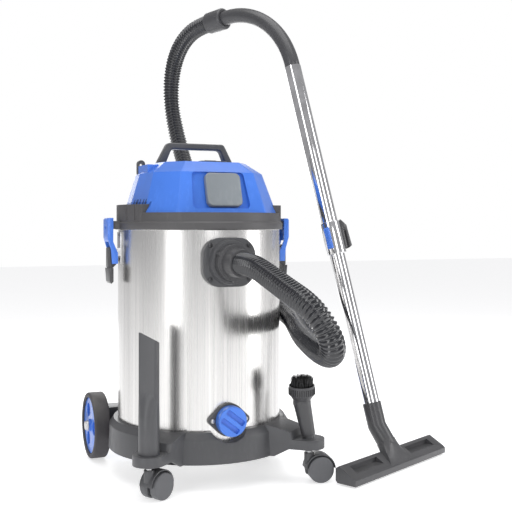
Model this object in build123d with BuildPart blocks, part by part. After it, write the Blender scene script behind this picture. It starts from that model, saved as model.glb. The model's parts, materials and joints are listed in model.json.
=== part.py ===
"""Wet and dry shop vacuum: steel drum on a wheeled base, lift-off motor head, hose, wand and tools.

Frame: +Z up, origin on the floor below the drum's axis, front (inlet, drain, socket lid) towards -Y.
Millimetres throughout.
"""

from build123d import *
from math import cos, pi, radians, sin, tan
import os

os.makedirs("parts", exist_ok=True)

# ---- Driving dimensions ----
drum_radius = 165
drum_wall = 0.8
drum_floor = 80
drum_rim = 488
bead_radius = 3
gap = 0.3

base_radius = 184
base_bottom = 50
base_top = 108
base_wall = 4

caster_angle = 40.7
caster_reach = 245
caster_headings = {"left": 29.5, "right": -11.8}
caster_wheel_radius = 25
caster_wheel_width = 15
caster_trail = 20
brush_lean = (-0.18, 0.076, 0.98)
stem_radius = 5.5
post_radii = {"left": 15.5, "right": 10.5}
post_height = 36
platform = 84

rear_wheel_radius = 69
rear_wheel_width = 33
rear_wheel_offset = 180.5
rear_axle_y = 150
axle_radius = 5
rear_hub_radius = 59

inlet_height = 425
inlet_bore = 22
drain_height = 129
drain_bore = 15
screw_radius = 3
screw_spots = {"inlet": [(-39, 32), (39, 32), (-39, -32), (39, -32)], "drain": [(-33, 0), (33, 0)]}

collar_bottom = 486
collar_radius = 171
parting = 519
ear_top = 535
cover_top = 620
cover_wall = 3
cover_outline = [(90, -138), (138, -80), (149, 0), (138, 80), (90, 138)]
cover_levels = [(parting, 1.00, 0), (598, 0.83, 6), (cover_top, 0.62, 8)]
handle_top = 664
handle_y = 28

filter_radius = 78
cage_radius = 58

latch_pivot = (178, 442)
latch_link = (180, 424)
latch_pin_radius = 2.5
rivet_radius = 2
rivet_heights = (473, 427)
bracket_face = 168.5

hose_radius = 21
hose_wall = 1.5

nozzle_turn = 25.94
nozzle_middle = (368.9, -192.4)
nozzle_length = 338
nozzle_depth = 46
wand_lean = 16.3
wand_foot = (76, 127)
wand_length = 751
inner_tube_radius = 16.3
outer_tube_radius = 18
sleeve_start = 318
sleeve_length = 70
handle_bend_radius = 192
handle_end_drop = 5
handle_cuff_length = 52


def save(piece, name):
    """Label a finished piece and write it under its node name."""
    piece.part.label = name
    export_step(piece.part, f"parts/{name}.step")


def polar(radius, degrees_from_front, side):
    """Point on a circle about the drum, measured from the front towards one side (-1 left, 1 right)."""
    angle = radians(degrees_from_front)
    return (side * radius * sin(angle), -radius * cos(angle))


sides = {"left": -1, "right": 1}
front = Plane.XZ
caster_spot = {name: polar(caster_reach, caster_angle, side) for name, side in sides.items()}

# ---- Steel drum: wall, floor and rolled rim, with the inlet and drain holes ----
with BuildPart() as drum:
    with BuildSketch(Plane.XZ):
        with Locations((drum_radius - drum_wall, drum_floor)):
            Rectangle(drum_wall, drum_rim - drum_floor, align=(Align.MIN, Align.MIN))
        with Locations((0, drum_floor)):
            Rectangle(drum_radius, drum_wall, align=(Align.MIN, Align.MIN))
        with Locations((drum_radius - drum_wall / 2, drum_rim)):
            Circle(bead_radius)
    revolve(axis=Axis.Z)
    with BuildSketch(front.offset(drum_radius - 60)):
        with Locations((0, inlet_height)):
            Circle(inlet_bore + 4)
        with Locations((0, drain_height)):
            Circle(drain_bore + 4)
        for port, height in (("inlet", inlet_height), ("drain", drain_height)):
            with Locations(*[(x, height + z) for x, z in screw_spots[port]]):
                Circle(screw_radius + 0.02)
    extrude(amount=80, mode=Mode.SUBTRACT)
    for height in rivet_heights:
        with Locations(Location((0, 0, height), (0, 90, 0))):
            Cylinder(rivet_radius + 0.02, 400, mode=Mode.SUBTRACT)
save(drum, "drum")

# ---- Chassis: ring and floor web under the drum, two caster arms, rear wheel brackets ----
with BuildPart() as arm:
    spot = caster_spot["right"]
    root_spot = polar(170, caster_angle, 1)
    with BuildSketch(Plane.XY.offset(base_bottom)):
        with Locations(spot):
            Circle(30)
        with Locations(root_spot):
            Circle(40)
        make_hull()
    extrude(amount=base_top - base_bottom)
    arm_side = Plane(
        origin=(0, 0, 0),
        x_dir=(*polar(1, caster_angle, 1), 0),
        z_dir=(-cos(radians(caster_angle)), -sin(radians(caster_angle)), 0),
    )
    with BuildSketch(arm_side):
        with BuildLine():
            Polyline(
                (150, base_bottom), (188, base_bottom), (218, 66), (290, 66), (290, platform),
                (224, platform), (220, 99), (180, base_top), (150, base_top), close=True,
            )
        make_face()
    extrude(amount=60, both=True, mode=Mode.INTERSECT)
    with BuildSketch(Plane.XY.offset(base_bottom)):
        with Locations(spot):
            Circle(26)
        with Locations(root_spot):
            Circle(36)
        make_hull()
    extrude(amount=platform - 5 - base_bottom, mode=Mode.SUBTRACT)
    with Locations((*spot, 61)):
        Cylinder(13, platform - 61, align=(Align.CENTER, Align.CENTER, Align.MIN))
    with Locations((*spot, 60)):
        Cylinder(
            stem_radius + 0.05, 32, align=(Align.CENTER, Align.CENTER, Align.MIN), mode=Mode.SUBTRACT
        )
arm_left = mirror(arm.part, about=Plane.YZ, mode=Mode.PRIVATE)

with BuildPart() as chassis_base:
    with BuildSketch(Plane.XZ):
        with BuildLine():
            Polyline(
                (drum_radius + 0.1, drum_floor - 0.05), (drum_radius + 0.1, base_top),
                (drum_radius + 9, base_top), (base_radius - 2, base_top - 12), (base_radius, base_bottom),
                (base_radius - base_wall, base_bottom), (base_radius - base_wall - 2, 75), (70, 75),
                (70, drum_floor - 0.05), close=True,
            )
        make_face()
    revolve(axis=Axis.Z)
    add(arm.part)
    add(arm_left)
    for name, side in sides.items():
        post_axis = brush_lean if name == "right" else (0, 0, 1)
        post = Plane(origin=(*caster_spot[name], platform), z_dir=post_axis)
        with BuildSketch(post.offset(-4)):
            Circle(post_radii[name])
        with BuildSketch(post.offset(post_height)):
            Circle(post_radii[name] - 1)
        loft()
        with Locations((*caster_spot[name], 60)):
            Cylinder(
                stem_radius + 0.05, 32, align=(Align.CENTER, Align.CENTER, Align.MIN), mode=Mode.SUBTRACT
            )
        with Locations((side * 131, rear_axle_y, 80)):
            Box(62, 46, 56)
        with Locations(Location((*polar(169.5, 138, side), 128), (0, 0, -side * 42))):
            Box(34, 7, 48)
    with BuildSketch(front.offset(140)):
        with Locations((0, drain_height)):
            Circle(41)
    extrude(amount=60, mode=Mode.SUBTRACT)
    with BuildSketch(Plane.XY.offset(drum_floor - 0.05)):
        Circle(drum_radius + 0.1)
    extrude(amount=90, mode=Mode.SUBTRACT)
    with Locations(Location((0, rear_axle_y, rear_wheel_radius), (0, 90, 0))):
        Cylinder(axle_radius + 0.05, 340, mode=Mode.SUBTRACT)
save(chassis_base, "chassis_base")

# ---- Rear axle with a push-on cap at each end ----
axle_half = rear_wheel_offset + rear_wheel_width / 2 + 3
with BuildPart() as rear_axle:
    with Locations(Location((0, rear_axle_y, rear_wheel_radius), (0, 90, 0))):
        Cylinder(axle_radius, 2 * axle_half)
save(rear_axle, "rear_axle")

with BuildPart() as axle_caps:
    for side in sides.values():
        cap_plane = Plane(
            origin=(side * (axle_half - 2), rear_axle_y, rear_wheel_radius), z_dir=(side, 0, 0)
        )
        with BuildSketch(cap_plane):
            Circle(11)
        extrude(amount=6, taper=20)
        with BuildSketch(cap_plane):
            Circle(axle_radius + 0.02)
        extrude(amount=2, mode=Mode.SUBTRACT)
save(axle_caps, "axle_caps")

# ---- Rear wheels: ribbed tyre on a three-pocket hub, free on the axle ----
for name, side in sides.items():
    inner_face = Plane(
        origin=(side * (rear_wheel_offset - rear_wheel_width / 2), rear_axle_y, rear_wheel_radius),
        z_dir=(side, 0, 0),
    )
    with BuildPart() as hub:
        with BuildSketch(inner_face):
            Circle(rear_hub_radius - 0.05)
        extrude(amount=rear_wheel_width - 4)
        with BuildSketch(inner_face):
            Circle(13)
        extrude(amount=rear_wheel_width)
        with BuildSketch(inner_face.offset(rear_wheel_width - 14)):
            with PolarLocations(rear_hub_radius - 24, 3, start_angle=90):
                Circle(14)
        extrude(amount=20, mode=Mode.SUBTRACT)
        with BuildSketch(inner_face):
            Circle(axle_radius + 0.06)
        extrude(amount=rear_wheel_width, mode=Mode.SUBTRACT)
    save(hub, f"rear_hub_{name}")
    with BuildPart() as tyre:
        with BuildSketch(inner_face):
            Circle(rear_wheel_radius)
            Circle(rear_hub_radius, mode=Mode.SUBTRACT)
        extrude(amount=rear_wheel_width)
        fillet(tyre.edges().filter_by(GeomType.CIRCLE).group_by(SortBy.RADIUS)[-1], 4)
    save(tyre, f"rear_tyre_{name}")

# ---- Front casters: hood with a web, steel stem and axle, twin wheels ----
hood_inside = caster_wheel_radius + 2
hood_wall = 2.5
hood_web = 7
hood_boss_bottom = 34
hood_boss_height = 22
hood_boss_radius = 9.5
for name, side in sides.items():
    heading = radians(caster_headings[name])
    trail = (cos(heading), sin(heading))
    x0, y0 = caster_spot[name]
    wheel_x, wheel_y = x0 + caster_trail * trail[0], y0 + caster_trail * trail[1]
    hub_plane = Plane(
        origin=(wheel_x, wheel_y, caster_wheel_radius), x_dir=(*trail, 0), z_dir=(trail[1], -trail[0], 0)
    )
    half_width = 5 + caster_wheel_width
    with BuildPart() as hood:
        with BuildSketch(hub_plane):
            Circle(hood_inside + hood_wall)
            with Locations((0, -28)):
                Rectangle(90, 60, mode=Mode.SUBTRACT)
        extrude(amount=half_width - 5, both=True)
        with BuildSketch(Plane.XY.offset(hood_boss_bottom)):
            with Locations((x0, y0)):
                Circle(hood_boss_radius)
        extrude(amount=hood_boss_height)
        with BuildSketch(hub_plane):
            Circle(hood_inside)
        extrude(amount=half_width, both=True, mode=Mode.SUBTRACT)
        with BuildSketch(hub_plane):
            Circle(hood_inside + 1)
            with Locations((0, -40)):
                Rectangle(90, 60, mode=Mode.SUBTRACT)
        extrude(amount=hood_web / 2, both=True)
        with BuildSketch(hub_plane):
            Circle(3.02)
        extrude(amount=10, both=True, mode=Mode.SUBTRACT)
        with Locations((x0, y0, 45)):
            Cylinder(
                stem_radius + 0.02, 20, align=(Align.CENTER, Align.CENTER, Align.MIN), mode=Mode.SUBTRACT
            )
    save(hood, f"caster_hood_{name}")
    with BuildPart() as pins:
        with Locations((x0, y0, 45)):
            Cylinder(stem_radius, 45, align=(Align.CENTER, Align.CENTER, Align.MIN))
        with BuildSketch(hub_plane):
            Circle(3)
        extrude(amount=half_width - 3, both=True)
    save(pins, f"caster_pins_{name}")
    for wheel_name, direction in (("outer", 1), ("inner", -1)):
        face = Plane(
            origin=hub_plane.origin + hub_plane.z_dir * 5 * direction,
            x_dir=hub_plane.x_dir, z_dir=hub_plane.z_dir * direction,
        )
        with BuildPart() as wheel:
            with BuildSketch(face):
                Circle(caster_wheel_radius)
            extrude(amount=caster_wheel_width)
            fillet(wheel.edges().filter_by(GeomType.CIRCLE), 2.5)
            with BuildSketch(face):
                Circle(3.06)
            extrude(amount=caster_wheel_width - 2.9, mode=Mode.SUBTRACT)
        save(wheel, f"caster_wheel_{wheel_name}_{name}")

# ---- Inlet on the drum front: flange, elbow inside, and the bayonet connector of the hose ----
flange_face = 187
flange_back = 175
recess_depth = 8
with BuildPart() as inlet_flange:
    with BuildSketch(front.offset(150)):
        with Locations((0, inlet_height)):
            RectangleRounded(104, 92, 33)
    extrude(amount=flange_back - 150)
    with BuildSketch(front.offset(flange_back)):
        with Locations((0, inlet_height)):
            Circle(43)
    extrude(amount=flange_face - flange_back, taper=12)
    Cylinder(drum_radius + 0.1, 1200, mode=Mode.SUBTRACT)
    with BuildSketch(front.offset(drum_radius - 12)):
        with Locations((0, inlet_height)):
            Circle(inlet_bore + 3.9)
    extrude(amount=20)
    with BuildSketch(front.offset(drum_radius - 12)):
        with Locations((0, inlet_height)):
            Circle(inlet_bore)
    extrude(amount=60, mode=Mode.SUBTRACT)
    with BuildSketch(front.offset(flange_face - recess_depth)):
        with Locations((0, inlet_height)):
            Circle(inlet_bore + 5)
    extrude(amount=20, mode=Mode.SUBTRACT)
    with BuildSketch(front.offset(140)):
        with Locations(*[(x, inlet_height + z) for x, z in screw_spots["inlet"]]):
            Circle(screw_radius + 0.02)
    extrude(amount=60, mode=Mode.SUBTRACT)
save(inlet_flange, "inlet_flange")

with BuildPart() as inlet_deflector:
    with BuildSketch(front.offset(drum_radius - 52)):
        with Locations((0, inlet_height)):
            Circle(inlet_bore + 3.9)
    extrude(amount=39.9)
    with BuildSketch(front.offset(drum_radius - 49)):
        with Locations((0, inlet_height)):
            Circle(inlet_bore)
    extrude(amount=60, mode=Mode.SUBTRACT)
    with BuildSketch(Plane.XY.offset(inlet_height - 40)):
        with Locations((0, -drum_radius + 33)):
            Rectangle(2 * inlet_bore - 8, 26)
    extrude(amount=40, mode=Mode.SUBTRACT)
save(inlet_deflector, "inlet_deflector")

connector_ring = 17
connector_cuff = 35
with BuildPart() as hose_connector:
    spigot = front.offset(flange_face - recess_depth + gap)
    with BuildSketch(spigot):
        with Locations((0, inlet_height)):
            Circle(inlet_bore + 5 - gap)
    extrude(amount=recess_depth)
    with BuildSketch(front.offset(flange_face + gap)):
        with Locations((0, inlet_height)):
            Circle(34)
            with PolarLocations(33, 3, start_angle=30):
                Circle(4)
    extrude(amount=connector_ring - gap)
    with BuildSketch(front.offset(flange_face + connector_ring)):
        with Locations((0, inlet_height)):
            Circle(28)
    extrude(amount=connector_cuff, taper=4)
    with BuildSketch(spigot):
        with Locations((0, inlet_height)):
            Circle(hose_radius - hose_wall - 1)
    extrude(amount=80, mode=Mode.SUBTRACT)
save(hose_connector, "hose_connector")
connector_end = flange_face + connector_ring + connector_cuff

# ---- Drain: flange, threaded spout through the wall, and the screw cap with its grip bar ----
drain_face = 172
with BuildPart() as drain_flange:
    with BuildSketch(front.offset(150)):
        with Locations((0, drain_height)):
            Circle(31)
        with Locations(*[(x, drain_height + z) for x, z in screw_spots["drain"]]):
            Circle(8)
        make_hull()
    extrude(amount=drain_face - 150)
    Cylinder(drum_radius + 0.1, 1200, mode=Mode.SUBTRACT)
    with BuildSketch(front.offset(drum_radius - 14)):
        with Locations((0, drain_height)):
            Circle(drain_bore + 3.9)
    extrude(amount=32)
    with BuildSketch(front.offset(drum_radius - 14)):
        with Locations((0, drain_height)):
            Circle(drain_bore)
    extrude(amount=60, mode=Mode.SUBTRACT)
    with BuildSketch(front.offset(140)):
        with Locations(*[(x, drain_height + z) for x, z in screw_spots["drain"]]):
            Circle(screw_radius + 0.02)
    extrude(amount=60, mode=Mode.SUBTRACT)
save(drain_flange, "drain_flange")

cap_back = 173
cap_height = 19
grip_angle = -38
with BuildPart() as drain_cap:
    with BuildSketch(front.offset(cap_back)):
        with Locations((0, drain_height)):
            Circle(28)
    extrude(amount=cap_height)
    fillet(drain_cap.faces().sort_by(Axis.Y)[0].edges(), 2)
    grip_dir = (cos(radians(grip_angle)), 0, sin(radians(grip_angle)))
    with BuildSketch(Plane(origin=(0, -(cap_back + 12), drain_height), x_dir=grip_dir, z_dir=(0, -1, 0))):
        with Locations((0, 9), (0, -9)):
            RectangleRounded(42, 10, 2)
    extrude(amount=10, mode=Mode.SUBTRACT)
    with BuildSketch(front.offset(cap_back)):
        with Locations((0, drain_height)):
            Circle(drain_bore + 3.9 + gap)
    extrude(amount=drum_radius - 14 + 32 + gap - cap_back, mode=Mode.SUBTRACT)
save(drain_cap, "drain_cap")

with BuildPart() as flange_screws:
    for port, height, face in (("inlet", inlet_height, flange_back), ("drain", drain_height, drain_face)):
        spots = [(x, height + z) for x, z in screw_spots[port]]
        with BuildSketch(front.offset(drum_radius - 15)):
            with Locations(*spots):
                Circle(screw_radius)
        extrude(amount=face - drum_radius + 15)
        with BuildSketch(front.offset(face)):
            with Locations(*spots):
                Circle(4.4)
        extrude(amount=2.5, taper=25)
save(flange_screws, "flange_screws")

# ---- Side latches: riveted bracket, lever with its paddle, and the hook clip it carries ----
pivot_x, pivot_z = latch_pivot
link_z = latch_link[1]
lug_reach = 183
lug_half = 13.5
clip_half = 18.5
cheek = 4


def across(side):
    """Vertical plane through the drum's axis whose local x points outwards on one side."""
    return Plane(origin=(0, 0, 0), x_dir=(side, 0, 0), z_dir=(0, -side, 0))


def outward(side, reach, height):
    """Plane that faces outwards on one side, at a height."""
    return Plane(origin=(side * reach, 0, height), x_dir=(0, 1, 0), z_dir=(side, 0, 0))


with BuildPart() as latch_brackets:
    for side in sides.values():
        with BuildSketch(across(side)):
            with Locations((150, 450)):
                Rectangle(bracket_face - 150, 62, align=(Align.MIN, Align.CENTER))
            with BuildLine():
                Polyline(
                    (150, pivot_z - 12), (pivot_x, pivot_z - 6), (pivot_x, pivot_z + 6),
                    (150, pivot_z + 14), close=True,
                )
            make_face()
            with Locations(latch_pivot):
                Circle(6)
        extrude(amount=12, both=True)
        with BuildSketch(across(side)):
            with Locations((bracket_face, pivot_z)):
                Rectangle(40, 90, align=(Align.MIN, Align.CENTER))
        extrude(amount=9, both=True, mode=Mode.SUBTRACT)
        with BuildSketch(across(side)):
            with Locations(latch_pivot):
                Circle(latch_pin_radius + 0.02)
        extrude(amount=20, both=True, mode=Mode.SUBTRACT)
    for height in rivet_heights:
        with Locations(Location((0, 0, height), (0, 90, 0))):
            Cylinder(rivet_radius + 0.02, 400, mode=Mode.SUBTRACT)
    Cylinder(drum_radius + 0.1, 1200, mode=Mode.SUBTRACT)
save(latch_brackets, "latch_brackets")

with BuildPart() as latch_fasteners:
    for side in sides.values():
        with BuildSketch(across(side)):
            with Locations(latch_pivot):
                Circle(latch_pin_radius)
        extrude(amount=12.5, both=True)
        for height in rivet_heights:
            with BuildSketch(outward(side, 160, height)):
                Circle(rivet_radius)
            extrude(amount=bracket_face - 160)
            with BuildSketch(outward(side, bracket_face, height)):
                Circle(4)
            extrude(amount=1.2, taper=30)
save(latch_fasteners, "latch_fasteners")

for name, side in sides.items():
    plane = across(side)
    with BuildPart() as lever:
        with BuildSketch(plane):
            with BuildLine():
                Polyline(
                    (pivot_x - 3, pivot_z + 5), (pivot_x + 5, pivot_z + 12), (192, pivot_z + 8),
                    (192, 412), (190, 410), (183, 410), (pivot_x - 4, link_z - 5), close=True,
                )
            make_face()
        extrude(amount=8.7, both=True)
        with BuildSketch(plane):
            with BuildLine():
                Polyline((183, 410.5), (192, 410.5), (190, 384), (187, 380), (183, 384), close=True)
            make_face()
        extrude(amount=17, both=True)
        with BuildSketch(plane):
            with Locations(latch_pivot, latch_link):
                Circle(latch_pin_radius + 0.05)
        extrude(amount=20, both=True, mode=Mode.SUBTRACT)
    save(lever, f"latch_lever_{name}")
    with BuildPart() as clip:
        with BuildSketch(plane):
            with BuildLine():
                Polyline(
                    (174.5, 419), (174.5, 440), (184, 462), (lug_reach + 0.6, 509), (192, 509),
                    (195, 506), (195, 470), (188, 446), (186, 419), close=True,
                )
            make_face()
        extrude(amount=clip_half, both=True)
        with BuildSketch(plane):
            with Locations((165, 400)):
                Rectangle(25.5, 104, align=(Align.MIN, Align.MIN))
                Rectangle(40, 62, align=(Align.MIN, Align.MIN))
        extrude(amount=clip_half - cheek, both=True, mode=Mode.SUBTRACT)
        with BuildSketch(plane):
            with Locations(latch_link):
                Circle(latch_pin_radius)
        extrude(amount=clip_half, both=True)
        with BuildSketch(outward(side, 180, 490)):
            Circle(3.5)
        extrude(amount=30, mode=Mode.SUBTRACT)
    save(clip, f"latch_clip_{name}")


# ---- Motor head: cover, collar, gasket ----
def cover_sections(inset, drop):
    """Faceted outlines of the cover at its three levels, drawn in by an inset and lowered by a drop."""
    ring = cover_outline + [(-x, y) for x, y in reversed(cover_outline)]
    sections = []
    for height, scale, shift in cover_levels:
        with BuildSketch(Plane.XY.offset(height - drop)) as section:
            with BuildLine():
                Polyline([(x * scale, y * scale + shift) for x, y in ring], close=True)
            make_face()
            if inset:
                offset(amount=-inset, kind=Kind.INTERSECTION)
        sections.append(section.sketch)
    return sections


recess_lean = 17.6
recess_plane = Plane(
    origin=(0, -125, 527), x_dir=(1, 0, 0), z_dir=(0, -cos(radians(recess_lean)), sin(radians(recess_lean)))
)
recess_outline = [(-60, -3), (60, -3), (53, 73), (-53, 73)]
port_height = 560
port_radius = 24
gland_spot = (-55, 545)
handle_foot = 73

with BuildPart() as cover_block:
    loft(sections=cover_sections(-0.1, 0), ruled=True)

with BuildPart() as cavity:
    loft(sections=cover_sections(cover_wall, cover_wall), ruled=True)
    with BuildSketch(recess_plane.offset(-cover_wall)):
        with BuildLine():
            Polyline(recess_outline, close=True)
        make_face()
        offset(amount=cover_wall, kind=Kind.INTERSECTION)
    extrude(amount=60, mode=Mode.SUBTRACT)

with BuildPart() as head_cover:
    loft(sections=cover_sections(0, 0), ruled=True)
    fillet(head_cover.edges().filter_by(lambda edge: abs(edge.tangent_at(0.5).Z) > 0.3), 6)
    with Locations((-103, 4, 602)):
        Box(30, 68, 26)
    add(cavity.part, mode=Mode.SUBTRACT)
    with BuildSketch(recess_plane) as recess:
        with BuildLine():
            Polyline(recess_outline, close=True)
        make_face()
        fillet(recess.vertices(), 9)
    extrude(amount=60, mode=Mode.SUBTRACT)
    for side in sides.values():
        with Locations(*[(side * 145, 9 * step, 533) for step in range(-9, 10)]):
            Box(70, 4.5, 14, mode=Mode.SUBTRACT)
    with BuildSketch(Plane.XZ.offset(-160)):
        with Locations((0, port_height)):
            Circle(port_radius + 0.1)
        with Locations(gland_spot):
            Circle(9.1)
    extrude(amount=70, mode=Mode.SUBTRACT)
save(head_cover, "head_cover")

intake_radius = 30
with BuildPart() as head_collar:
    with BuildSketch(Plane.XZ):
        with BuildLine():
            Polyline(
                (drum_radius + 4, collar_bottom), (collar_radius - 1, collar_bottom),
                (collar_radius, collar_bottom + 3), (collar_radius, 499), (collar_radius - 4, 502),
                (165.5, parting), (131, parting), (131, 508), (intake_radius, 508), (intake_radius, 498),
                (drum_radius - 6, 498), (drum_radius - 6, 494.5), (drum_radius + 4, 494.5), close=True,
            )
        make_face()
    revolve(axis=Axis.Z)
    with BuildSketch(Plane.XY.offset(500)):
        Circle(168)
        Circle(140, mode=Mode.SUBTRACT)
        Rectangle(400, 164, mode=Mode.INTERSECT)
    extrude(amount=ear_top - 500)
    for side in sides.values():
        rib_gaps = [polar(168, angle, side) for angle in (66, 76, 104, 114)]
        with BuildSketch(Plane.XY.offset(504)):
            with Locations(*rib_gaps):
                Circle(3.5)
        extrude(amount=40, mode=Mode.SUBTRACT)
        with BuildSketch(across(side)):
            with Locations((collar_radius - 2, 487)):
                Rectangle(lug_reach - collar_radius + 2, 16, align=(Align.MIN, Align.MIN))
        extrude(amount=lug_half, both=True)
    with BuildSketch(Plane.XY.offset(parting)):
        Circle(120)
    extrude(amount=60, mode=Mode.SUBTRACT)
    add(cover_block.part, mode=Mode.SUBTRACT)
save(head_collar, "head_collar")

with BuildPart() as head_gasket:
    with BuildSketch(Plane.XZ):
        with Locations((drum_radius - drum_wall / 2, 492.8)):
            Rectangle(7, 3.2)
    revolve(axis=Axis.Z)
save(head_gasket, "head_gasket")

# ---- On the head: carry handle, switch panel and rocker, socket with its lid, port, gland, hook ----
with BuildPart() as carry_handle:
    with BuildSketch(Plane.XZ.offset(-handle_y)):
        with BuildLine():
            Polyline(
                (-handle_foot - 11, cover_top), (-handle_foot + 12, handle_top),
                (handle_foot - 12, handle_top),
                (handle_foot + 11, cover_top), close=True,
            )
        make_face()
        with BuildLine():
            Polyline(
                (-handle_foot + 7, cover_top), (-handle_foot + 20, handle_top - 13),
                (handle_foot - 20, handle_top - 13), (handle_foot - 7, cover_top), close=True,
            )
        make_face(mode=Mode.SUBTRACT)
    extrude(amount=11, both=True)
    fillet(carry_handle.edges().filter_by(Axis.Y).sort_by(Axis.Z)[-4:], 9)
    fillet(carry_handle.edges().filter_by(Axis.X).sort_by(Axis.Z)[-4:], 4)
save(carry_handle, "carry_handle")

panel_centre = (15, -32)
with BuildPart() as switch_panel:
    with BuildSketch(Plane.XY.offset(cover_top)):
        with Locations(panel_centre):
            RectangleRounded(56, 40, 6)
            Rectangle(24.6, 16.6, mode=Mode.SUBTRACT)
    extrude(amount=4)
save(switch_panel, "switch_panel")

with BuildPart() as power_rocker:
    with BuildSketch(Plane.YZ.offset(panel_centre[0] - 12)):
        with BuildLine():
            Polyline(
                (panel_centre[1] - 8, 621.8), (panel_centre[1] - 8, 624.4), (panel_centre[1], 625.6),
                (panel_centre[1] + 8, 627), (panel_centre[1] + 8, 621.8), close=True,
            )
        make_face()
    extrude(amount=24)
save(power_rocker, "power_rocker")

lid_centre = 7
with BuildPart() as socket_insert:
    with BuildSketch(recess_plane.offset(0.05)):
        with Locations((lid_centre, 32)):
            RectangleRounded(62, 52, 8)
            Circle(21, mode=Mode.SUBTRACT)
    extrude(amount=5)
    with BuildSketch(recess_plane.offset(0.05)):
        with Locations((lid_centre, 32)):
            Circle(21)
            with Locations((-9.5, 0), (9.5, 0)):
                Circle(3, mode=Mode.SUBTRACT)
    extrude(amount=2)
save(socket_insert, "socket_insert")

with BuildPart() as socket_cover:
    with BuildSketch(recess_plane.offset(0.6)):
        with Locations((lid_centre, 35)):
            RectangleRounded(72, 68, 11)
    extrude(amount=13)
    fillet(socket_cover.faces().sort_by(Axis.Y)[0].edges(), 3)
    with BuildSketch(recess_plane.offset(0.6)):
        with Locations((lid_centre, 34)):
            RectangleRounded(66, 62, 6)
    extrude(amount=6, mode=Mode.SUBTRACT)
save(socket_cover, "socket_cover")

with BuildPart() as blower_port:
    with BuildSketch(Plane.XZ.offset(-145)):
        with Locations((0, port_height)):
            Circle(port_radius)
            Circle(19, mode=Mode.SUBTRACT)
    extrude(amount=50)
save(blower_port, "blower_port")

with BuildPart() as cord_gland:
    with BuildSketch(Plane.XZ.offset(-120)):
        with Locations(gland_spot):
            Circle(9)
    extrude(amount=-28, taper=5)
    with BuildSketch(Plane.XZ.offset(-160)):
        with Locations(gland_spot):
            Circle(4)
    extrude(amount=60, mode=Mode.SUBTRACT)
save(cord_gland, "cord_gland")

with BuildPart() as cord_hook:
    with BuildSketch(Plane.XZ.offset(-60)):
        with Locations((-107, 612)):
            SlotOverall(34, 16, rotation=90)
            SlotOverall(20, 7, rotation=90, mode=Mode.SUBTRACT)
    extrude(amount=5, both=True)
    add(cover_block.part, mode=Mode.SUBTRACT)
save(cord_hook, "cord_hook")

# ---- Inside the head: fan housing, motor can, rotor and impeller on the drum's axis ----
housing_top = 545
motor_top = 598
shaft_radius = 4
low = (Align.CENTER, Align.CENTER, Align.MIN)
with BuildPart() as fan_housing:
    with Locations((0, 0, 508.05)):
        Cylinder(76, housing_top - 508.05, align=low)
        Cylinder(73, housing_top - 508.05 - 3, align=low, mode=Mode.SUBTRACT)
    with Locations((0, 0, 540)):
        Cylinder(shaft_radius + 0.05, 10, align=low, mode=Mode.SUBTRACT)
save(fan_housing, "fan_housing")

with BuildPart() as motor_can:
    with Locations((0, 0, housing_top + 0.05)):
        Cylinder(50, motor_top - housing_top, align=low)
        with Locations((0, 0, 3)):
            Cylinder(47, motor_top - housing_top - 6, align=low, mode=Mode.SUBTRACT)
        Cylinder(shaft_radius + 0.05, 50, align=low, mode=Mode.SUBTRACT)
save(motor_can, "motor_can")

with BuildPart() as motor_rotor:
    with Locations((0, 0, 514)):
        Cylinder(shaft_radius, 79, align=low)
    with Locations((0, 0, 552)):
        Cylinder(30, 32, align=low)
    with Locations((0, 0, 585.5)):
        Cylinder(11, 6, align=low)
save(motor_rotor, "motor_rotor")

with BuildPart() as impeller:
    with Locations((0, 0, 515)):
        Cylinder(66, 2, align=low)
        Cylinder(14, 20, align=low)
    with Locations((0, 0, 533)):
        Cylinder(66, 2, align=low)
    with BuildSketch(Plane.XY.offset(516)):
        with PolarLocations(38, 8):
            with Locations(Location((0, 0, 0), (0, 0, 35))):
                Rectangle(50, 2)
    extrude(amount=18)
    with Locations((0, 0, 514)):
        Cylinder(shaft_radius + 0.02, 22, align=low, mode=Mode.SUBTRACT)
save(impeller, "impeller")

# ---- Below the head, inside the drum: float cage and ball, pleated cartridge, turning cap ----
cage_bottom = 300
with BuildPart() as filter_cage:
    with Locations((0, 0, cage_bottom)):
        Cylinder(cage_radius, 197.95 - 4, align=low)
    with Locations((0, 0, 493.95)):
        Cylinder(92, 4, align=low)
    with Locations((0, 0, cage_bottom + 3)):
        Cylinder(cage_radius - 3, 200, align=low, mode=Mode.SUBTRACT)
    with Locations((0, 0, 268)):
        Cylinder(6, 33, align=low)
    with BuildSketch(Plane.XY.offset(cage_bottom + 14)):
        with PolarLocations(cage_radius - 2, 8):
            Rectangle(20, 16)
    extrude(amount=165, mode=Mode.SUBTRACT)
save(filter_cage, "filter_cage")

ball_radius = 40
with BuildPart() as float_ball:
    with Locations((0, 0, cage_bottom + 3 + ball_radius + 0.3)):
        Sphere(ball_radius)
        Sphere(ball_radius - 2, mode=Mode.SUBTRACT)
save(float_ball, "float_ball")

with BuildPart() as filter_cartridge:
    with BuildSketch(Plane.XY.offset(cage_bottom - 16)):
        Circle(filter_radius)
        Circle(cage_radius + 2, mode=Mode.SUBTRACT)
    extrude(amount=209.5)
save(filter_cartridge, "filter_cartridge")

with BuildPart() as filter_cap:
    with Locations((0, 0, 272)):
        Cylinder(filter_radius + 2, 11.5, align=low)
        Cylinder(18, 11, align=low)
    with Locations((0, 0, 265)):
        Box(90, 14, 8, align=low)
    with Locations((0, 0, 280)):
        Cylinder(filter_radius - 1, 10, align=low, mode=Mode.SUBTRACT)
        Cylinder(18, 3.5, align=low)
    with Locations((0, 0, 267.7)):
        Cylinder(6.05, 30, align=low, mode=Mode.SUBTRACT)
save(filter_cap, "filter_cap")

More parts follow.
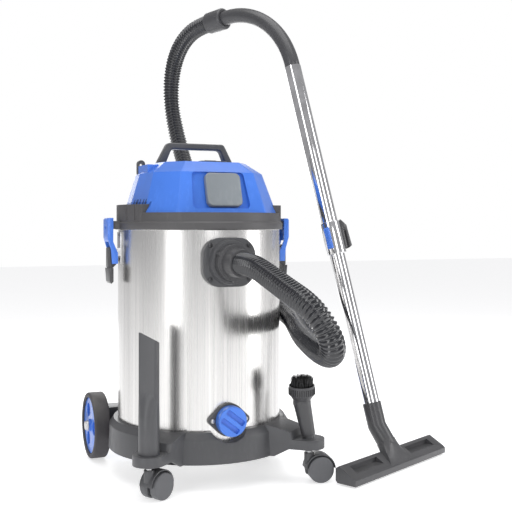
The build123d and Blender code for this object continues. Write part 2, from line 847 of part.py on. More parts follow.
# ---- Wand, leaning back in the nozzle's own plane of symmetry ----
turn = radians(nozzle_turn)
lean = Plane(
    origin=(*nozzle_middle, 0), x_dir=(-sin(turn), cos(turn), 0), z_dir=(cos(turn), sin(turn), 0)
)
lean_rad = radians(wand_lean)
foot = lean.from_local_coords((*wand_foot, 0))
wand_direction = lean.x_dir * sin(lean_rad) + Vector(0, 0, cos(lean_rad))
wand = Plane(origin=foot, x_dir=lean.z_dir, z_dir=wand_direction)


def wand_at(distance):
    """Cross-section plane of the wand at a distance above its foot."""
    return wand.offset(distance)


inner_top = sleeve_start + sleeve_length + 12
with BuildPart() as wand_inner_tube:
    with BuildSketch(wand_at(-38)):
        Circle(inner_tube_radius)
        Circle(inner_tube_radius - 1, mode=Mode.SUBTRACT)
    extrude(amount=inner_top + 38)
save(wand_inner_tube, "wand_inner_tube")

with BuildPart() as wand_outer_tube:
    with BuildSketch(wand_at(sleeve_start + 14)):
        Circle(outer_tube_radius)
        Circle(outer_tube_radius - 1, mode=Mode.SUBTRACT)
    extrude(amount=wand_length - sleeve_start - 14)
save(wand_outer_tube, "wand_outer_tube")

with BuildPart() as wand_sleeve:
    with BuildSketch(wand_at(sleeve_start)):
        Circle(outer_tube_radius + 3)
    extrude(amount=sleeve_length)
    with BuildSketch(wand_at(sleeve_start + 14)):
        Circle(outer_tube_radius + 0.05)
    extrude(amount=sleeve_length, mode=Mode.SUBTRACT)
    with BuildSketch(wand_at(sleeve_start - 1)):
        Circle(inner_tube_radius + 0.4)
    extrude(amount=20, mode=Mode.SUBTRACT)
save(wand_sleeve, "wand_sleeve")


def wand_side(angle):
    """Plane along the wand: local x points outwards at an angle about it, local y along it."""
    out = wand.x_dir * cos(radians(angle)) + wand.y_dir * sin(radians(angle))
    return Plane(origin=wand.origin, x_dir=out, z_dir=out.cross(wand.z_dir))


with BuildPart() as wand_button:
    with BuildSketch(wand_side(192)):
        with BuildLine():
            Polyline(
                (outer_tube_radius + 3.3, 330), (26, 330), (27.5, 334), (25.5, 352), (27.5, 372),
                (25, 376), (outer_tube_radius + 3.3, 376), close=True,
            )
        make_face()
    extrude(amount=6, both=True)
save(wand_button, "wand_button")

with BuildPart() as parking_clip:
    with BuildSketch(wand_side(-22)):
        with BuildLine():
            Polyline(
                (19, 388), (24, 392), (36, 378), (38, 332), (31, 328), (31, 366), (26, 371),
                (26, 330), (19, 326), close=True,
            )
        make_face()
    extrude(amount=8, both=True)
    with BuildSketch(wand_at(300)):
        Circle(outer_tube_radius + 3.05)
    extrude(amount=110, mode=Mode.SUBTRACT)
save(parking_clip, "parking_clip")

# ---- Bent handle tube in the wand's top, and the cuff that holds the hose ----
bend_start = wand_length + 4
bend_foot = (
    wand_foot[0] + bend_start * sin(lean_rad), wand_foot[1] + bend_start * cos(lean_rad)
)
bend_centre = (
    bend_foot[0] + handle_bend_radius * cos(lean_rad), bend_foot[1] - handle_bend_radius * sin(lean_rad)
)
drop = radians(handle_end_drop)
bend_end = (
    bend_centre[0] + handle_bend_radius * sin(drop), bend_centre[1] + handle_bend_radius * cos(drop)
)
with BuildPart() as handle_tube:
    with BuildLine(lean) as handle_path:
        CenterArc(bend_centre, handle_bend_radius, 90 - handle_end_drop, 90 - wand_lean + handle_end_drop)
    with BuildSketch(Plane(origin=lean.from_local_coords((*bend_foot, 0)), z_dir=wand_direction)):
        Circle(17)
        Circle(14.5, mode=Mode.SUBTRACT)
    sweep(path=handle_path.line)
    with BuildSketch(wand_at(wand_length - 30)):
        Circle(16.9)
        Circle(14.5, mode=Mode.SUBTRACT)
    extrude(amount=34)
    end_plane = Plane(
        origin=lean.from_local_coords((*bend_end, 0)),
        z_dir=lean.x_dir * cos(drop) + Vector(0, 0, -sin(drop)),
    )
    with BuildSketch(end_plane):
        Circle(17)
        Circle(14.5, mode=Mode.SUBTRACT)
    extrude(amount=28)
save(handle_tube, "handle_tube")

with BuildPart() as hose_handle_cuff:
    with BuildSketch(end_plane.offset(6)):
        Circle(25.5)
    extrude(amount=handle_cuff_length)
    chamfer(hose_handle_cuff.edges().filter_by(GeomType.CIRCLE), 3)
    with BuildSketch(end_plane.offset(5)):
        Circle(17.1)
    extrude(amount=24, mode=Mode.SUBTRACT)
    with BuildSketch(end_plane.offset(20)):
        Circle(14.5)
    extrude(amount=60, mode=Mode.SUBTRACT)
save(hose_handle_cuff, "hose_handle_cuff")

# ---- Floor nozzle on the wand's foot, with its two bristle strips ----
elbow = (63.4, 80.5)
neck_foot = (25, 28)
neck_direction = lean.x_dir * (elbow[0] - neck_foot[0]) + Vector(0, 0, elbow[1] - neck_foot[1])
neck_plane = Plane(
    origin=lean.from_local_coords((*neck_foot, 0)), x_dir=lean.z_dir, z_dir=neck_direction
)
neck_length = ((elbow[0] - neck_foot[0]) ** 2 + (elbow[1] - neck_foot[1]) ** 2) ** 0.5
elbow_point = lean.from_local_coords((*elbow, 0))
with BuildPart() as floor_nozzle:
    with BuildSketch(lean):
        with BuildLine():
            Polyline(
                (0, 3), (0, 14), (5, 18), (38, 36), (nozzle_depth, 31), (nozzle_depth, 8), (42, 3),
                close=True,
            )
        make_face()
    extrude(amount=nozzle_length / 2, both=True)
    with BuildSketch(neck_plane.offset(-22)):
        Rectangle(76, 22)
    with BuildSketch(neck_plane.offset(neck_length * 0.45)):
        RectangleRounded(42, 36, 17)
    loft()
    with BuildSketch(neck_plane.offset(neck_length * 0.3)):
        Circle(19)
    extrude(amount=neck_length * 0.7)
    with BuildSketch(Plane(origin=elbow_point, z_dir=wand_direction)):
        Circle(19)
    extrude(amount=48)
    with Locations(Location(elbow_point)):
        Sphere(19)
    with BuildSketch(lean):
        with BuildLine():
            Polyline((8, -5), (8, 12), (36, 20), (39, -5), close=True)
        make_face()
    extrude(amount=nozzle_length / 2 - 6, both=True, mode=Mode.SUBTRACT)
    for end in (-1, 1):
        pocket = Plane(
            origin=lean.from_local_coords((23, 32, end * 98)), x_dir=lean.z_dir, z_dir=(0, 0, 1)
        )
        with BuildSketch(pocket):
            Rectangle(92, 20)
        extrude(amount=-10, both=False, mode=Mode.SUBTRACT)
    with Locations(Location(elbow_point)):
        Sphere(15)
    with BuildSketch(Plane(origin=elbow_point, z_dir=wand_direction)):
        Circle(15)
    extrude(amount=60, mode=Mode.SUBTRACT)
    with BuildSketch(wand_at(-38.1)):
        Circle(inner_tube_radius + 0.02)
    extrude(amount=60, mode=Mode.SUBTRACT)
    with BuildSketch(neck_plane):
        Circle(13)
    extrude(amount=neck_length, mode=Mode.SUBTRACT)
    with BuildSketch(neck_plane.offset(-16)):
        Circle(9.5)
    extrude(amount=20, mode=Mode.SUBTRACT)
    with BuildSketch(lean):
        with Locations((4.5, 4), (40.5, 4)):
            Rectangle(3.1, 8.1)
    extrude(amount=nozzle_length / 2 - 5.95, both=True, mode=Mode.SUBTRACT)
save(floor_nozzle, "floor_nozzle")

with BuildPart() as nozzle_strips:
    with BuildSketch(lean):
        with Locations((4.5, 4), (40.5, 4)):
            Rectangle(3, 8)
    extrude(amount=nozzle_length / 2 - 6, both=True)
save(nozzle_strips, "nozzle_strips")

# ---- Tools parked on the caster arms ----
tool_foot = platform + 0.3
blade_top = 302
left_x, left_y = caster_spot["left"]
tangent = (cos(radians(caster_angle)), -sin(radians(caster_angle)), 0)


def tool_plane(height):
    """Level plane over the left post whose x runs along the drum's tangent there."""
    return Plane(origin=(left_x, left_y, height), x_dir=tangent, z_dir=(0, 0, 1))


with BuildPart() as crevice_nozzle:
    with BuildSketch(tool_plane(tool_foot)):
        Circle(19)
    extrude(amount=66)
    with BuildSketch(tool_plane(tool_foot + 66)):
        Circle(19)
    with BuildSketch(tool_plane(196)):
        RectangleRounded(36, 18, 5)
    loft()
    with BuildSketch(tool_plane(196)):
        RectangleRounded(36, 18, 5)
    extrude(amount=blade_top - 196)
    with BuildSketch(tool_plane(tool_foot)):
        Circle(16)
    extrude(amount=66, mode=Mode.SUBTRACT)
    with BuildSketch(tool_plane(tool_foot + 66)):
        Circle(16)
    with BuildSketch(tool_plane(196)):
        RectangleRounded(31, 13, 4)
    loft(mode=Mode.SUBTRACT)
    with BuildSketch(tool_plane(196)):
        RectangleRounded(31, 13, 4)
    extrude(amount=blade_top - 190, mode=Mode.SUBTRACT)
    slant = Plane(origin=(left_x, left_y, blade_top - 8), x_dir=tangent, z_dir=(0, 0, 1)).rotated((0, 30, 0))
    with BuildSketch(slant):
        Rectangle(120, 120)
    extrude(amount=60, mode=Mode.SUBTRACT)
save(crevice_nozzle, "crevice_nozzle")

brush_tube = Plane(origin=(*caster_spot["right"], platform), z_dir=brush_lean)
brush_foot = 6
brush_elbow = 70
head_axis = Vector(-0.06, -0.10, 0.99)
brush_head = Plane(origin=brush_tube.offset(brush_elbow).origin, z_dir=head_axis)
with BuildPart() as dusting_brush:
    with BuildSketch(brush_tube.offset(brush_foot)):
        Circle(13.5)
    with BuildSketch(brush_tube.offset(brush_elbow)):
        Circle(17)
    loft()
    with Locations(Location(brush_head.origin)):
        Sphere(17.5)
    with BuildSketch(brush_head.offset(4)):
        Circle(16)
    with BuildSketch(brush_head.offset(16)):
        Circle(24)
    loft()
    with BuildSketch(brush_head.offset(16)):
        Circle(25)
    extrude(amount=18)
    with BuildSketch(brush_head.offset(18)):
        Circle(20)
    extrude(amount=20, mode=Mode.SUBTRACT)
    with BuildSketch(brush_head.offset(30)):
        Circle(23.5)
    extrude(amount=20, mode=Mode.SUBTRACT)
    with BuildSketch(brush_tube.offset(brush_foot)):
        Circle(11)
    extrude(amount=brush_elbow - brush_foot - 2, mode=Mode.SUBTRACT)
    with BuildSketch(brush_head.offset(-5)):
        Circle(11)
    extrude(amount=40, mode=Mode.SUBTRACT)
save(dusting_brush, "dusting_brush")

with BuildPart() as brush_bristles:
    with BuildSketch(brush_head.offset(30.05)):
        Circle(23.4)
        Circle(18.5, mode=Mode.SUBTRACT)
    extrude(amount=22)
save(brush_bristles, "brush_bristles")

# ---- Suction hose: straight runs joined by tangent arcs, from the inlet cuff to the handle cuff ----
hose_end = end_plane.offset(6 + handle_cuff_length).origin
hose_arrival = hose_end + end_plane.z_dir * 45
hose_route = [
    (0, -connector_end, inlet_height),
    (0, -284, inlet_height),
    (9, -335, 408),
    (16, -395, 388),
    (24, -451, 370),
    (37, -480, 344),
    (57, -480, 308),
    (70, -451, 282),
    (80, -390, 281),
    (96, -320, 286),
    (115, -250, 291),
    (138, -185, 296),
    (163, -118, 299),
    (186, -52, 302),
    (200, 20, 308),
    (206, 95, 324),
    (192, 168, 354),
    (170, 235, 398),
    (150, 298, 455),
    (133, 355, 520),
    (121, 402, 590),
    (111, 442, 660),
    (100, 468, 735),
    (90, 476, 800),
    (84, 462, 862),
    (84, 431, 914),
    (91, 388, 953),
    tuple(hose_arrival),
    tuple(hose_end),
]


def hose_radii(route):
    """Largest tangent arc that the two runs at each corner leave room for."""
    points = [Vector(point) for point in route]
    radii = []
    for before, corner, after in zip(points, points[1:], points[2:]):
        first, second = corner - before, after - corner
        half_turn = radians(first.get_angle(second)) / 2
        radii.append(0.45 * min(first.length, second.length) / tan(half_turn))
    return radii


radii = hose_radii(hose_route)
print("hose radii", [round(radius) for radius in radii])
with BuildPart() as hose:
    with BuildLine() as hose_line:
        FilletPolyline(*hose_route, radius=radii)
    with BuildSketch(Plane(origin=hose_route[0], z_dir=(0, -1, 0))):
        Circle(hose_radius)
        Circle(hose_radius - hose_wall, mode=Mode.SUBTRACT)
    sweep(path=hose_line.line)
save(hose, "hose")
hose_length = sum(edge.length for edge in hose_line.edges())
section = pi * (hose_radius**2 - (hose_radius - hose_wall) ** 2)
volume_ratio = hose.part.volume / (section * hose_length)
print("hose length", round(hose_length), "volume ratio", round(volume_ratio, 4))
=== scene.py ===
# %% [markdown]
# # A wet and dry workshop vacuum
# The machine is a steel drum on a wheeled base, with a blue motor head clipped on top, a ribbed
# hose, a bright telescopic wand and two small tools parked on the base. Every size comes from the
# CAD frame, which is loaded first. Blender adds what CAD leaves out: soft edges, ribs, bristles,
# pleats and the finish of each material.

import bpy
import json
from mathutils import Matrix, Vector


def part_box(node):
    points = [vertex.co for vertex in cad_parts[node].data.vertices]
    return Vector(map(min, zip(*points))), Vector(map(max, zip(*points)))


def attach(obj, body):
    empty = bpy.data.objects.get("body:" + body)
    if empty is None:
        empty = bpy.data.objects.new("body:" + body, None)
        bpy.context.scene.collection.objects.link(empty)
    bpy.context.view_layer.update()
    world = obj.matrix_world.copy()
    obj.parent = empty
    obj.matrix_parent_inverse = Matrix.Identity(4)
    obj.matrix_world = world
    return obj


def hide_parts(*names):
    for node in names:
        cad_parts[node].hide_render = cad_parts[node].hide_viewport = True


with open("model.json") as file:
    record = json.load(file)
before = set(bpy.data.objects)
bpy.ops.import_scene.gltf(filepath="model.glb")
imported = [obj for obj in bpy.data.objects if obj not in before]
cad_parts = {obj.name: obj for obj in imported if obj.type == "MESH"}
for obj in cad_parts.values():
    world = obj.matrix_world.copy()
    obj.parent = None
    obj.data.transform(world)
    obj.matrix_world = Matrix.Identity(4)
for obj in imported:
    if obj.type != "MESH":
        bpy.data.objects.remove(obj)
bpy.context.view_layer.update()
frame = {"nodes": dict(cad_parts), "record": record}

import json
from math import atan2, cos, pi, radians, sin

import bmesh
import bpy
from mathutils import Matrix, Vector
from mathutils.bvhtree import BVHTree

body_of_node = {
    node: body for body, nodes in frame["record"]["behaviour"]["bodies"].items() for node in nodes
}

# %% [markdown]
# ## Camera
# The camera stands at chest height of a seated person, about 1.9 m from the machine, and looks
# level. A level camera keeps upright edges upright. The small shift slides the picture instead of
# tilting the camera.

# %% Place the camera
camera_data = bpy.data.cameras.new("camera")
camera_data.sensor_width = 36
camera_data.lens = 61.9
camera_data.shift_y = -0.0605
camera = bpy.data.objects.new("camera", camera_data)
camera.location = (-0.597, -1.714, 0.495)
camera.rotation_euler = (pi / 2, 0, atan2(-0.389, 0.921))
bpy.context.scene.collection.objects.link(camera)
bpy.context.scene.camera = camera
print("camera looks along", [round(value, 3) for value in camera.rotation_euler])

# %% [markdown]
# ## Small helpers
# A finished piece has its place in its mesh and its object at the origin, as the CAD nodes have.
# `keep` turns whatever modifiers have made into such a plain mesh.


# %% Make, keep and fit pieces
def link(piece):
    """Put an object in the scene."""
    bpy.context.scene.collection.objects.link(piece)
    return piece


def from_lists(name, points, faces, edges=()):
    """New mesh object from plain lists."""
    mesh = bpy.data.meshes.new(name)
    mesh.from_pydata([tuple(point) for point in points], list(edges), faces)
    mesh.update()
    return link(bpy.data.objects.new(name, mesh))


def keep(piece):
    """Replace a piece's modifiers, or a curve, by the mesh they make."""
    graph = bpy.context.evaluated_depsgraph_get()
    mesh = bpy.data.meshes.new_from_object(piece.evaluated_get(graph))
    mesh.name = piece.name
    if piece.type == "MESH":
        piece.modifiers.clear()
        piece.data = mesh
        return piece
    name = piece.name
    bpy.data.objects.remove(piece)
    return link(bpy.data.objects.new(name, mesh))


def smooth(piece, angle=32):
    """Smooth shading that stays crisp at edges sharper than the angle."""
    mesh = piece.data
    for polygon in mesh.polygons:
        polygon.use_smooth = True
    form = bmesh.new()
    form.from_mesh(mesh)
    for edge in form.edges:
        sharp = len(edge.link_faces) != 2 or edge.calc_face_angle(0) > radians(angle)
        edge.smooth = not sharp
    form.to_mesh(mesh)
    form.free()
    return piece


def fit(piece, node, material, replace=True):
    """Let a piece ride with a CAD node's body, wear a material, and stand for the node."""
    piece.data.materials.clear()
    piece.data.materials.append(material)
    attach(piece, body_of_node[node])
    if replace:
        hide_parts(node)
    return piece


# %% [markdown]
# ## Hose route
# The hose leaves the front inlet, droops forward, folds back low beside the drum, and climbs
# behind it to the handle. Its centre line is a NURBS spline through the same control points as the
# CAD route. A NURBS of order 3 cuts softly inside each corner, as a hose under its own weight does.

# %% Draw the hose's centre line
hose_points = [
    (0, -0.239, 0.425), (0, -0.284, 0.425), (0.009, -0.335, 0.408), (0.016, -0.395, 0.388),
    (0.024, -0.451, 0.370), (0.037, -0.480, 0.344), (0.057, -0.480, 0.308), (0.070, -0.451, 0.282),
    (0.080, -0.390, 0.281), (0.096, -0.320, 0.286), (0.115, -0.250, 0.291), (0.138, -0.185, 0.296),
    (0.163, -0.118, 0.299), (0.186, -0.052, 0.302), (0.200, 0.020, 0.308), (0.206, 0.095, 0.324),
    (0.192, 0.168, 0.354), (0.170, 0.235, 0.398), (0.150, 0.298, 0.455), (0.133, 0.355, 0.520),
    (0.121, 0.402, 0.590), (0.111, 0.442, 0.660), (0.100, 0.468, 0.735), (0.090, 0.476, 0.800),
    (0.084, 0.462, 0.862), (0.084, 0.431, 0.914), (0.091, 0.388, 0.953), (0.1102, 0.3395, 0.9801),
    (0.1298, 0.2992, 0.9840),
]
line_data = bpy.data.curves.new("hose_line", "CURVE")
line_data.dimensions = "3D"
line_data.resolution_u = 24
spline = line_data.splines.new("NURBS")
spline.points.add(len(hose_points) - 1)
for point, place in zip(spline.points, hose_points):
    point.co = (*place, 1)
spline.order_u = 3
spline.use_endpoint_u = True
hose_line = link(bpy.data.objects.new("hose_line", line_data))
line_mesh = bpy.data.meshes.new_from_object(
    hose_line.evaluated_get(bpy.context.evaluated_depsgraph_get())
)
hose_path = [vertex.co.copy() for vertex in line_mesh.vertices]
hose_length = sum((b - a).length for a, b in zip(hose_path, hose_path[1:]))
bpy.data.objects.remove(hose_line)
print("hose centre line", round(hose_length, 3), "m,", len(hose_path), "points")

# %% [markdown]
# ## Ribbed hose
# A moulded suction hose is a tube whose radius rises and falls every few millimetres. That is a
# rule along a path, so Geometry Nodes make it: the line is cut into short steps, each step's
# radius follows a cosine of the distance, and a circle is swept along it.


# %% Build the ribbed tube tree
def add_input(tree, name, kind, default):
    """Named input of a Geometry Nodes tree."""
    socket = tree.interface.new_socket(name, in_out="INPUT", socket_type=kind)
    if default is not None:
        socket.default_value = default
    return socket


def math_node(tree, operation, first, second=None, third=None):
    """Math node with numbers or sockets as inputs; gives its output socket."""
    node = tree.nodes.new("ShaderNodeMath")
    node.operation = operation
    for place, value in enumerate((first, second, third)):
        if value is None:
            continue
        if isinstance(value, (int, float)):
            node.inputs[place].default_value = value
        else:
            tree.links.new(value, node.inputs[place])
    return node.outputs[0]


def new_tree(name):
    """Empty Geometry Nodes tree with its geometry in and out."""
    tree = bpy.data.node_groups.new(name, "GeometryNodeTree")
    tree.interface.new_socket("Geometry", in_out="INPUT", socket_type="NodeSocketGeometry")
    tree.interface.new_socket("Geometry", in_out="OUTPUT", socket_type="NodeSocketGeometry")
    return tree, tree.nodes.new("NodeGroupInput"), tree.nodes.new("NodeGroupOutput")


def finish_tree(tree, geometry, material, output):
    """Realize Instances, Set Material, output."""
    realize = tree.nodes.new("GeometryNodeRealizeInstances")
    paint = tree.nodes.new("GeometryNodeSetMaterial")
    tree.links.new(geometry, realize.inputs[0])
    tree.links.new(realize.outputs[0], paint.inputs["Geometry"])
    tree.links.new(material, paint.inputs["Material"])
    tree.links.new(paint.outputs[0], output.inputs[0])


def apply_tree(piece, tree, **values):
    """Run a tree on a piece with named input values and keep the mesh."""
    modifier = piece.modifiers.new(tree.name, "NODES")
    modifier.node_group = tree
    for item in tree.interface.items_tree:
        if item.item_type == "SOCKET" and item.in_out == "INPUT" and item.name in values:
            modifier[item.identifier] = values[item.name]
    return keep(piece)


ribbed_tube, tube_in, tube_out = new_tree("ribbed tube")
add_input(ribbed_tube, "Radius", "NodeSocketFloat", 0.021)
add_input(ribbed_tube, "Rib Pitch", "NodeSocketFloat", 0.006)
add_input(ribbed_tube, "Rib Depth", "NodeSocketFloat", 0.002)
add_input(ribbed_tube, "Sides", "NodeSocketInt", 24)
add_input(ribbed_tube, "Material", "NodeSocketMaterial", None)
resample = ribbed_tube.nodes.new("GeometryNodeResampleCurve")
resample.mode = "LENGTH"
to_curve = ribbed_tube.nodes.new("GeometryNodeMeshToCurve")
spline_place = ribbed_tube.nodes.new("GeometryNodeSplineParameter")
circle = ribbed_tube.nodes.new("GeometryNodeCurvePrimitiveCircle")
circle.inputs["Radius"].default_value = 1
sweep = ribbed_tube.nodes.new("GeometryNodeCurveToMesh")
set_radius = ribbed_tube.nodes.new("GeometryNodeSetCurveRadius")
links = ribbed_tube.links
step = math_node(ribbed_tube, "DIVIDE", tube_in.outputs["Rib Pitch"], 6.0)
turns = math_node(ribbed_tube, "DIVIDE", spline_place.outputs["Length"], tube_in.outputs["Rib Pitch"])
wave = math_node(ribbed_tube, "COSINE", math_node(ribbed_tube, "MULTIPLY", turns, 2 * pi))
valley = math_node(ribbed_tube, "MULTIPLY_ADD", wave, -0.5, 0.5)
flat_top = math_node(ribbed_tube, "POWER", valley, 1.3)
dip = math_node(ribbed_tube, "MULTIPLY", flat_top, tube_in.outputs["Rib Depth"])
radius = math_node(ribbed_tube, "SUBTRACT", tube_in.outputs["Radius"], dip)
links.new(tube_in.outputs[0], to_curve.inputs[0])
links.new(to_curve.outputs[0], resample.inputs["Curve"])
links.new(step, resample.inputs["Length"])
links.new(resample.outputs[0], set_radius.inputs["Curve"])
links.new(radius, set_radius.inputs["Radius"])
links.new(set_radius.outputs[0], sweep.inputs["Curve"])
links.new(circle.outputs[0], sweep.inputs["Profile Curve"])
links.new(tube_in.outputs["Sides"], circle.inputs["Resolution"])
if "Scale" in sweep.inputs:
    links.new(radius, sweep.inputs["Scale"])
smooth_tube = ribbed_tube.nodes.new("GeometryNodeSetShadeSmooth")
links.new(sweep.outputs[0], smooth_tube.inputs["Geometry"])
finish_tree(ribbed_tube, smooth_tube.outputs[0], tube_in.outputs["Material"], tube_out)
print("ribbed tube tree has", len(ribbed_tube.nodes), "nodes")

# %% [markdown]
# ## Shader groups
# Four effects are shared by several finishes, so each is a node group that is built once: the fine
# grain of moulded plastic, light dust on upward faces, long streaks in brushed metal, and small
# scuffs. They read Object coordinates, so a pattern stays with its piece.


# %% Build the shared shader groups
def shader_group(name, inputs, outputs):
    """Empty shader group with its sockets."""
    tree = bpy.data.node_groups.new(name, "ShaderNodeTree")
    for label, kind, default in inputs:
        socket = tree.interface.new_socket(label, in_out="INPUT", socket_type=kind)
        socket.default_value = default
    for label, kind in outputs:
        tree.interface.new_socket(label, in_out="OUTPUT", socket_type=kind)
    return tree, tree.nodes.new("NodeGroupInput"), tree.nodes.new("NodeGroupOutput")


def noise(tree, scale, detail=3.0, stretch=(1, 1, 1)):
    """Noise on Object coordinates; gives its height socket."""
    coordinates = tree.nodes.new("ShaderNodeTexCoord")
    mapping = tree.nodes.new("ShaderNodeMapping")
    texture = tree.nodes.new("ShaderNodeTexNoise")
    mapping.inputs["Scale"].default_value = stretch
    texture.inputs["Detail"].default_value = detail
    tree.links.new(coordinates.outputs["Object"], mapping.inputs["Vector"])
    tree.links.new(mapping.outputs[0], texture.inputs["Vector"])
    if isinstance(scale, (int, float)):
        texture.inputs["Scale"].default_value = scale
    else:
        tree.links.new(scale, texture.inputs["Scale"])
    return texture.outputs[0]


def bump(tree, height, strength, distance=0.001):
    """Bump from a height; gives the normal socket."""
    node = tree.nodes.new("ShaderNodeBump")
    node.inputs["Distance"].default_value = distance
    tree.links.new(height, node.inputs["Height"])
    if isinstance(strength, (int, float)):
        node.inputs["Strength"].default_value = strength
    else:
        tree.links.new(strength, node.inputs["Strength"])
    return node.outputs[0]


def blend_colour(tree, factor, first, second, mode="MIX"):
    """Mix of two colours by a factor socket; gives the colour socket."""
    node = tree.nodes.new("ShaderNodeMix")
    node.data_type = "RGBA"
    node.blend_type = mode
    for place, value in ((0, factor), (6, first), (7, second)):
        if isinstance(value, (int, float)):
            node.inputs[place].default_value = value
        elif isinstance(value, tuple):
            node.inputs[place].default_value = (*value, 1)
        else:
            tree.links.new(value, node.inputs[place])
    return node.outputs[2]


def spread(tree, value, low, high, to_low, to_high):
    """Map a range of values to another; gives the output socket."""
    node = tree.nodes.new("ShaderNodeMapRange")
    tree.links.new(value, node.inputs[0])
    for place, number in enumerate((low, high, to_low, to_high), start=1):
        if isinstance(number, (int, float)):
            node.inputs[place].default_value = number
        else:
            tree.links.new(number, node.inputs[place])
    return node.outputs[0]


grain_group, grain_in, grain_out = shader_group(
    "moulded grain",
    [("Grain Scale", "NodeSocketFloat", 900.0), ("Depth", "NodeSocketFloat", 0.15)],
    [("Normal", "NodeSocketVector")],
)
grain_group.links.new(
    bump(grain_group, noise(grain_group, grain_in.outputs[0]), grain_in.outputs[1], 0.0006),
    grain_out.inputs["Normal"],
)

dust_group, dust_in, dust_out = shader_group(
    "light dust",
    [("Colour", "NodeSocketColor", (0.5, 0.5, 0.5, 1)), ("Amount", "NodeSocketFloat", 0.1)],
    [("Colour", "NodeSocketColor")],
)
facing = dust_group.nodes.new("ShaderNodeNewGeometry")
split = dust_group.nodes.new("ShaderNodeSeparateXYZ")
dust_group.links.new(facing.outputs["Normal"], split.inputs[0])
upward = spread(dust_group, split.outputs["Z"], 0.2, 1.0, 0.0, 1.0)
cloud = spread(dust_group, noise(dust_group, 26.0, 5.0), 0.35, 0.7, 0.2, 1.0)
settled = math_node(dust_group, "MULTIPLY", upward, cloud)
dusty = math_node(dust_group, "MULTIPLY", settled, dust_in.outputs[1])
dust_group.links.new(
    blend_colour(dust_group, dusty, dust_in.outputs[0], (0.52, 0.50, 0.47)), dust_out.inputs[0]
)

scuff_group, scuff_in, scuff_out = shader_group(
    "scuffs",
    [("Roughness", "NodeSocketFloat", 0.4), ("Amount", "NodeSocketFloat", 0.1)],
    [("Roughness", "NodeSocketFloat"), ("Mask", "NodeSocketFloat")],
)
broad = noise(scuff_group, 14.0, 4.0)
fine = noise(scuff_group, 160.0, 6.0, (1, 1, 0.25))
mask = math_node(
    scuff_group, "MULTIPLY", spread(scuff_group, broad, 0.45, 0.7, 0, 1),
    spread(scuff_group, fine, 0.5, 0.62, 0, 1),
)
change = math_node(scuff_group, "MULTIPLY", mask, scuff_in.outputs[1])
scuff_group.links.new(
    math_node(scuff_group, "ADD", math_node(scuff_group, "ADD", scuff_in.outputs[0], change),
              spread(scuff_group, broad, 0.3, 0.7, -0.03, 0.03)),
    scuff_out.inputs[0],
)
scuff_group.links.new(mask, scuff_out.inputs[1])

streak_group, streak_in, streak_out = shader_group(
    "brushed streaks",
    [("Colour", "NodeSocketColor", (0.6, 0.6, 0.6, 1)), ("Roughness", "NodeSocketFloat", 0.3),
     ("Strength", "NodeSocketFloat", 0.1)],
    [("Colour", "NodeSocketColor"), ("Roughness", "NodeSocketFloat"), ("Normal", "NodeSocketVector")],
)
hair = noise(streak_group, 420.0, 4.0, (1, 1, 0.006))
wide = noise(streak_group, 60.0, 3.0, (1, 1, 0.01))
both = math_node(streak_group, "MULTIPLY_ADD", wide, 0.5, math_node(streak_group, "MULTIPLY", hair, 0.5))
streak_group.links.new(
    blend_colour(streak_group, spread(streak_group, both, 0.35, 0.65, 0.0, 0.35), streak_in.outputs[0],
                 (0.30, 0.30, 0.31)),
    streak_out.inputs[0],
)
streak_group.links.new(
    math_node(streak_group, "ADD", streak_in.outputs[1], spread(streak_group, both, 0.3, 0.7, -0.08, 0.08)),
    streak_out.inputs[1],
)
streak_group.links.new(bump(streak_group, hair, streak_in.outputs[2], 0.0005), streak_out.inputs[2])
print("shader groups:", [group.name for group in (grain_group, dust_group, scuff_group, streak_group)])

# %% [markdown]
# ## Plastics
# Most of the machine is moulded plastic: satin blue for the head and wheels, a slightly grained
# dark grey for everything that takes knocks, light grey for the socket lid. One function builds
# them, with a different colour, gloss and grain depth each.


# %% Make the plastics
def start_material(name):
    """Material with its Principled BSDF, and a helper tree."""
    material = bpy.data.materials.new(name)
    material.use_nodes = True
    return material, material.node_tree, material.node_tree.nodes["Principled BSDF"]


def use_group(tree, group, **values):
    """Place a shader group with its own values."""
    node = tree.nodes.new("ShaderNodeGroup")
    node.node_tree = group
    for label, value in values.items():
        socket = node.inputs[label.replace("_", " ")]
        if isinstance(value, (int, float, tuple)):
            socket.default_value = value
        else:
            tree.links.new(value, socket)
    return node


def plastic(name, colour, roughness, grain=0.15, scale=900.0, dust=0.12, coat=0.0):
    """Moulded plastic with mottling, grain, scuffs and a little dust."""
    material, tree, shader = start_material(name)
    deep = tuple(channel * 0.86 for channel in colour)
    mottled = blend_colour(tree, spread(tree, noise(tree, 9.0, 4.0), 0.35, 0.65, 0, 1), deep, colour)
    dusty_part = use_group(tree, dust_group, Colour=mottled, Amount=dust)
    scuffed = use_group(tree, scuff_group, Roughness=roughness, Amount=0.18)
    pale = tuple(min(1, channel * 1.5 + 0.03) for channel in colour)
    wear = math_node(tree, "MULTIPLY", scuffed.outputs[1], 0.22)
    worn = blend_colour(tree, wear, dusty_part.outputs[0], pale)
    grained = use_group(tree, grain_group, Grain_Scale=scale, Depth=grain)
    tree.links.new(worn, shader.inputs["Base Color"])
    tree.links.new(scuffed.outputs[0], shader.inputs["Roughness"])
    tree.links.new(grained.outputs[0], shader.inputs["Normal"])
    shader.inputs["Coat Weight"].default_value = coat
    shader.inputs["Coat Roughness"].default_value = 0.15
    return material


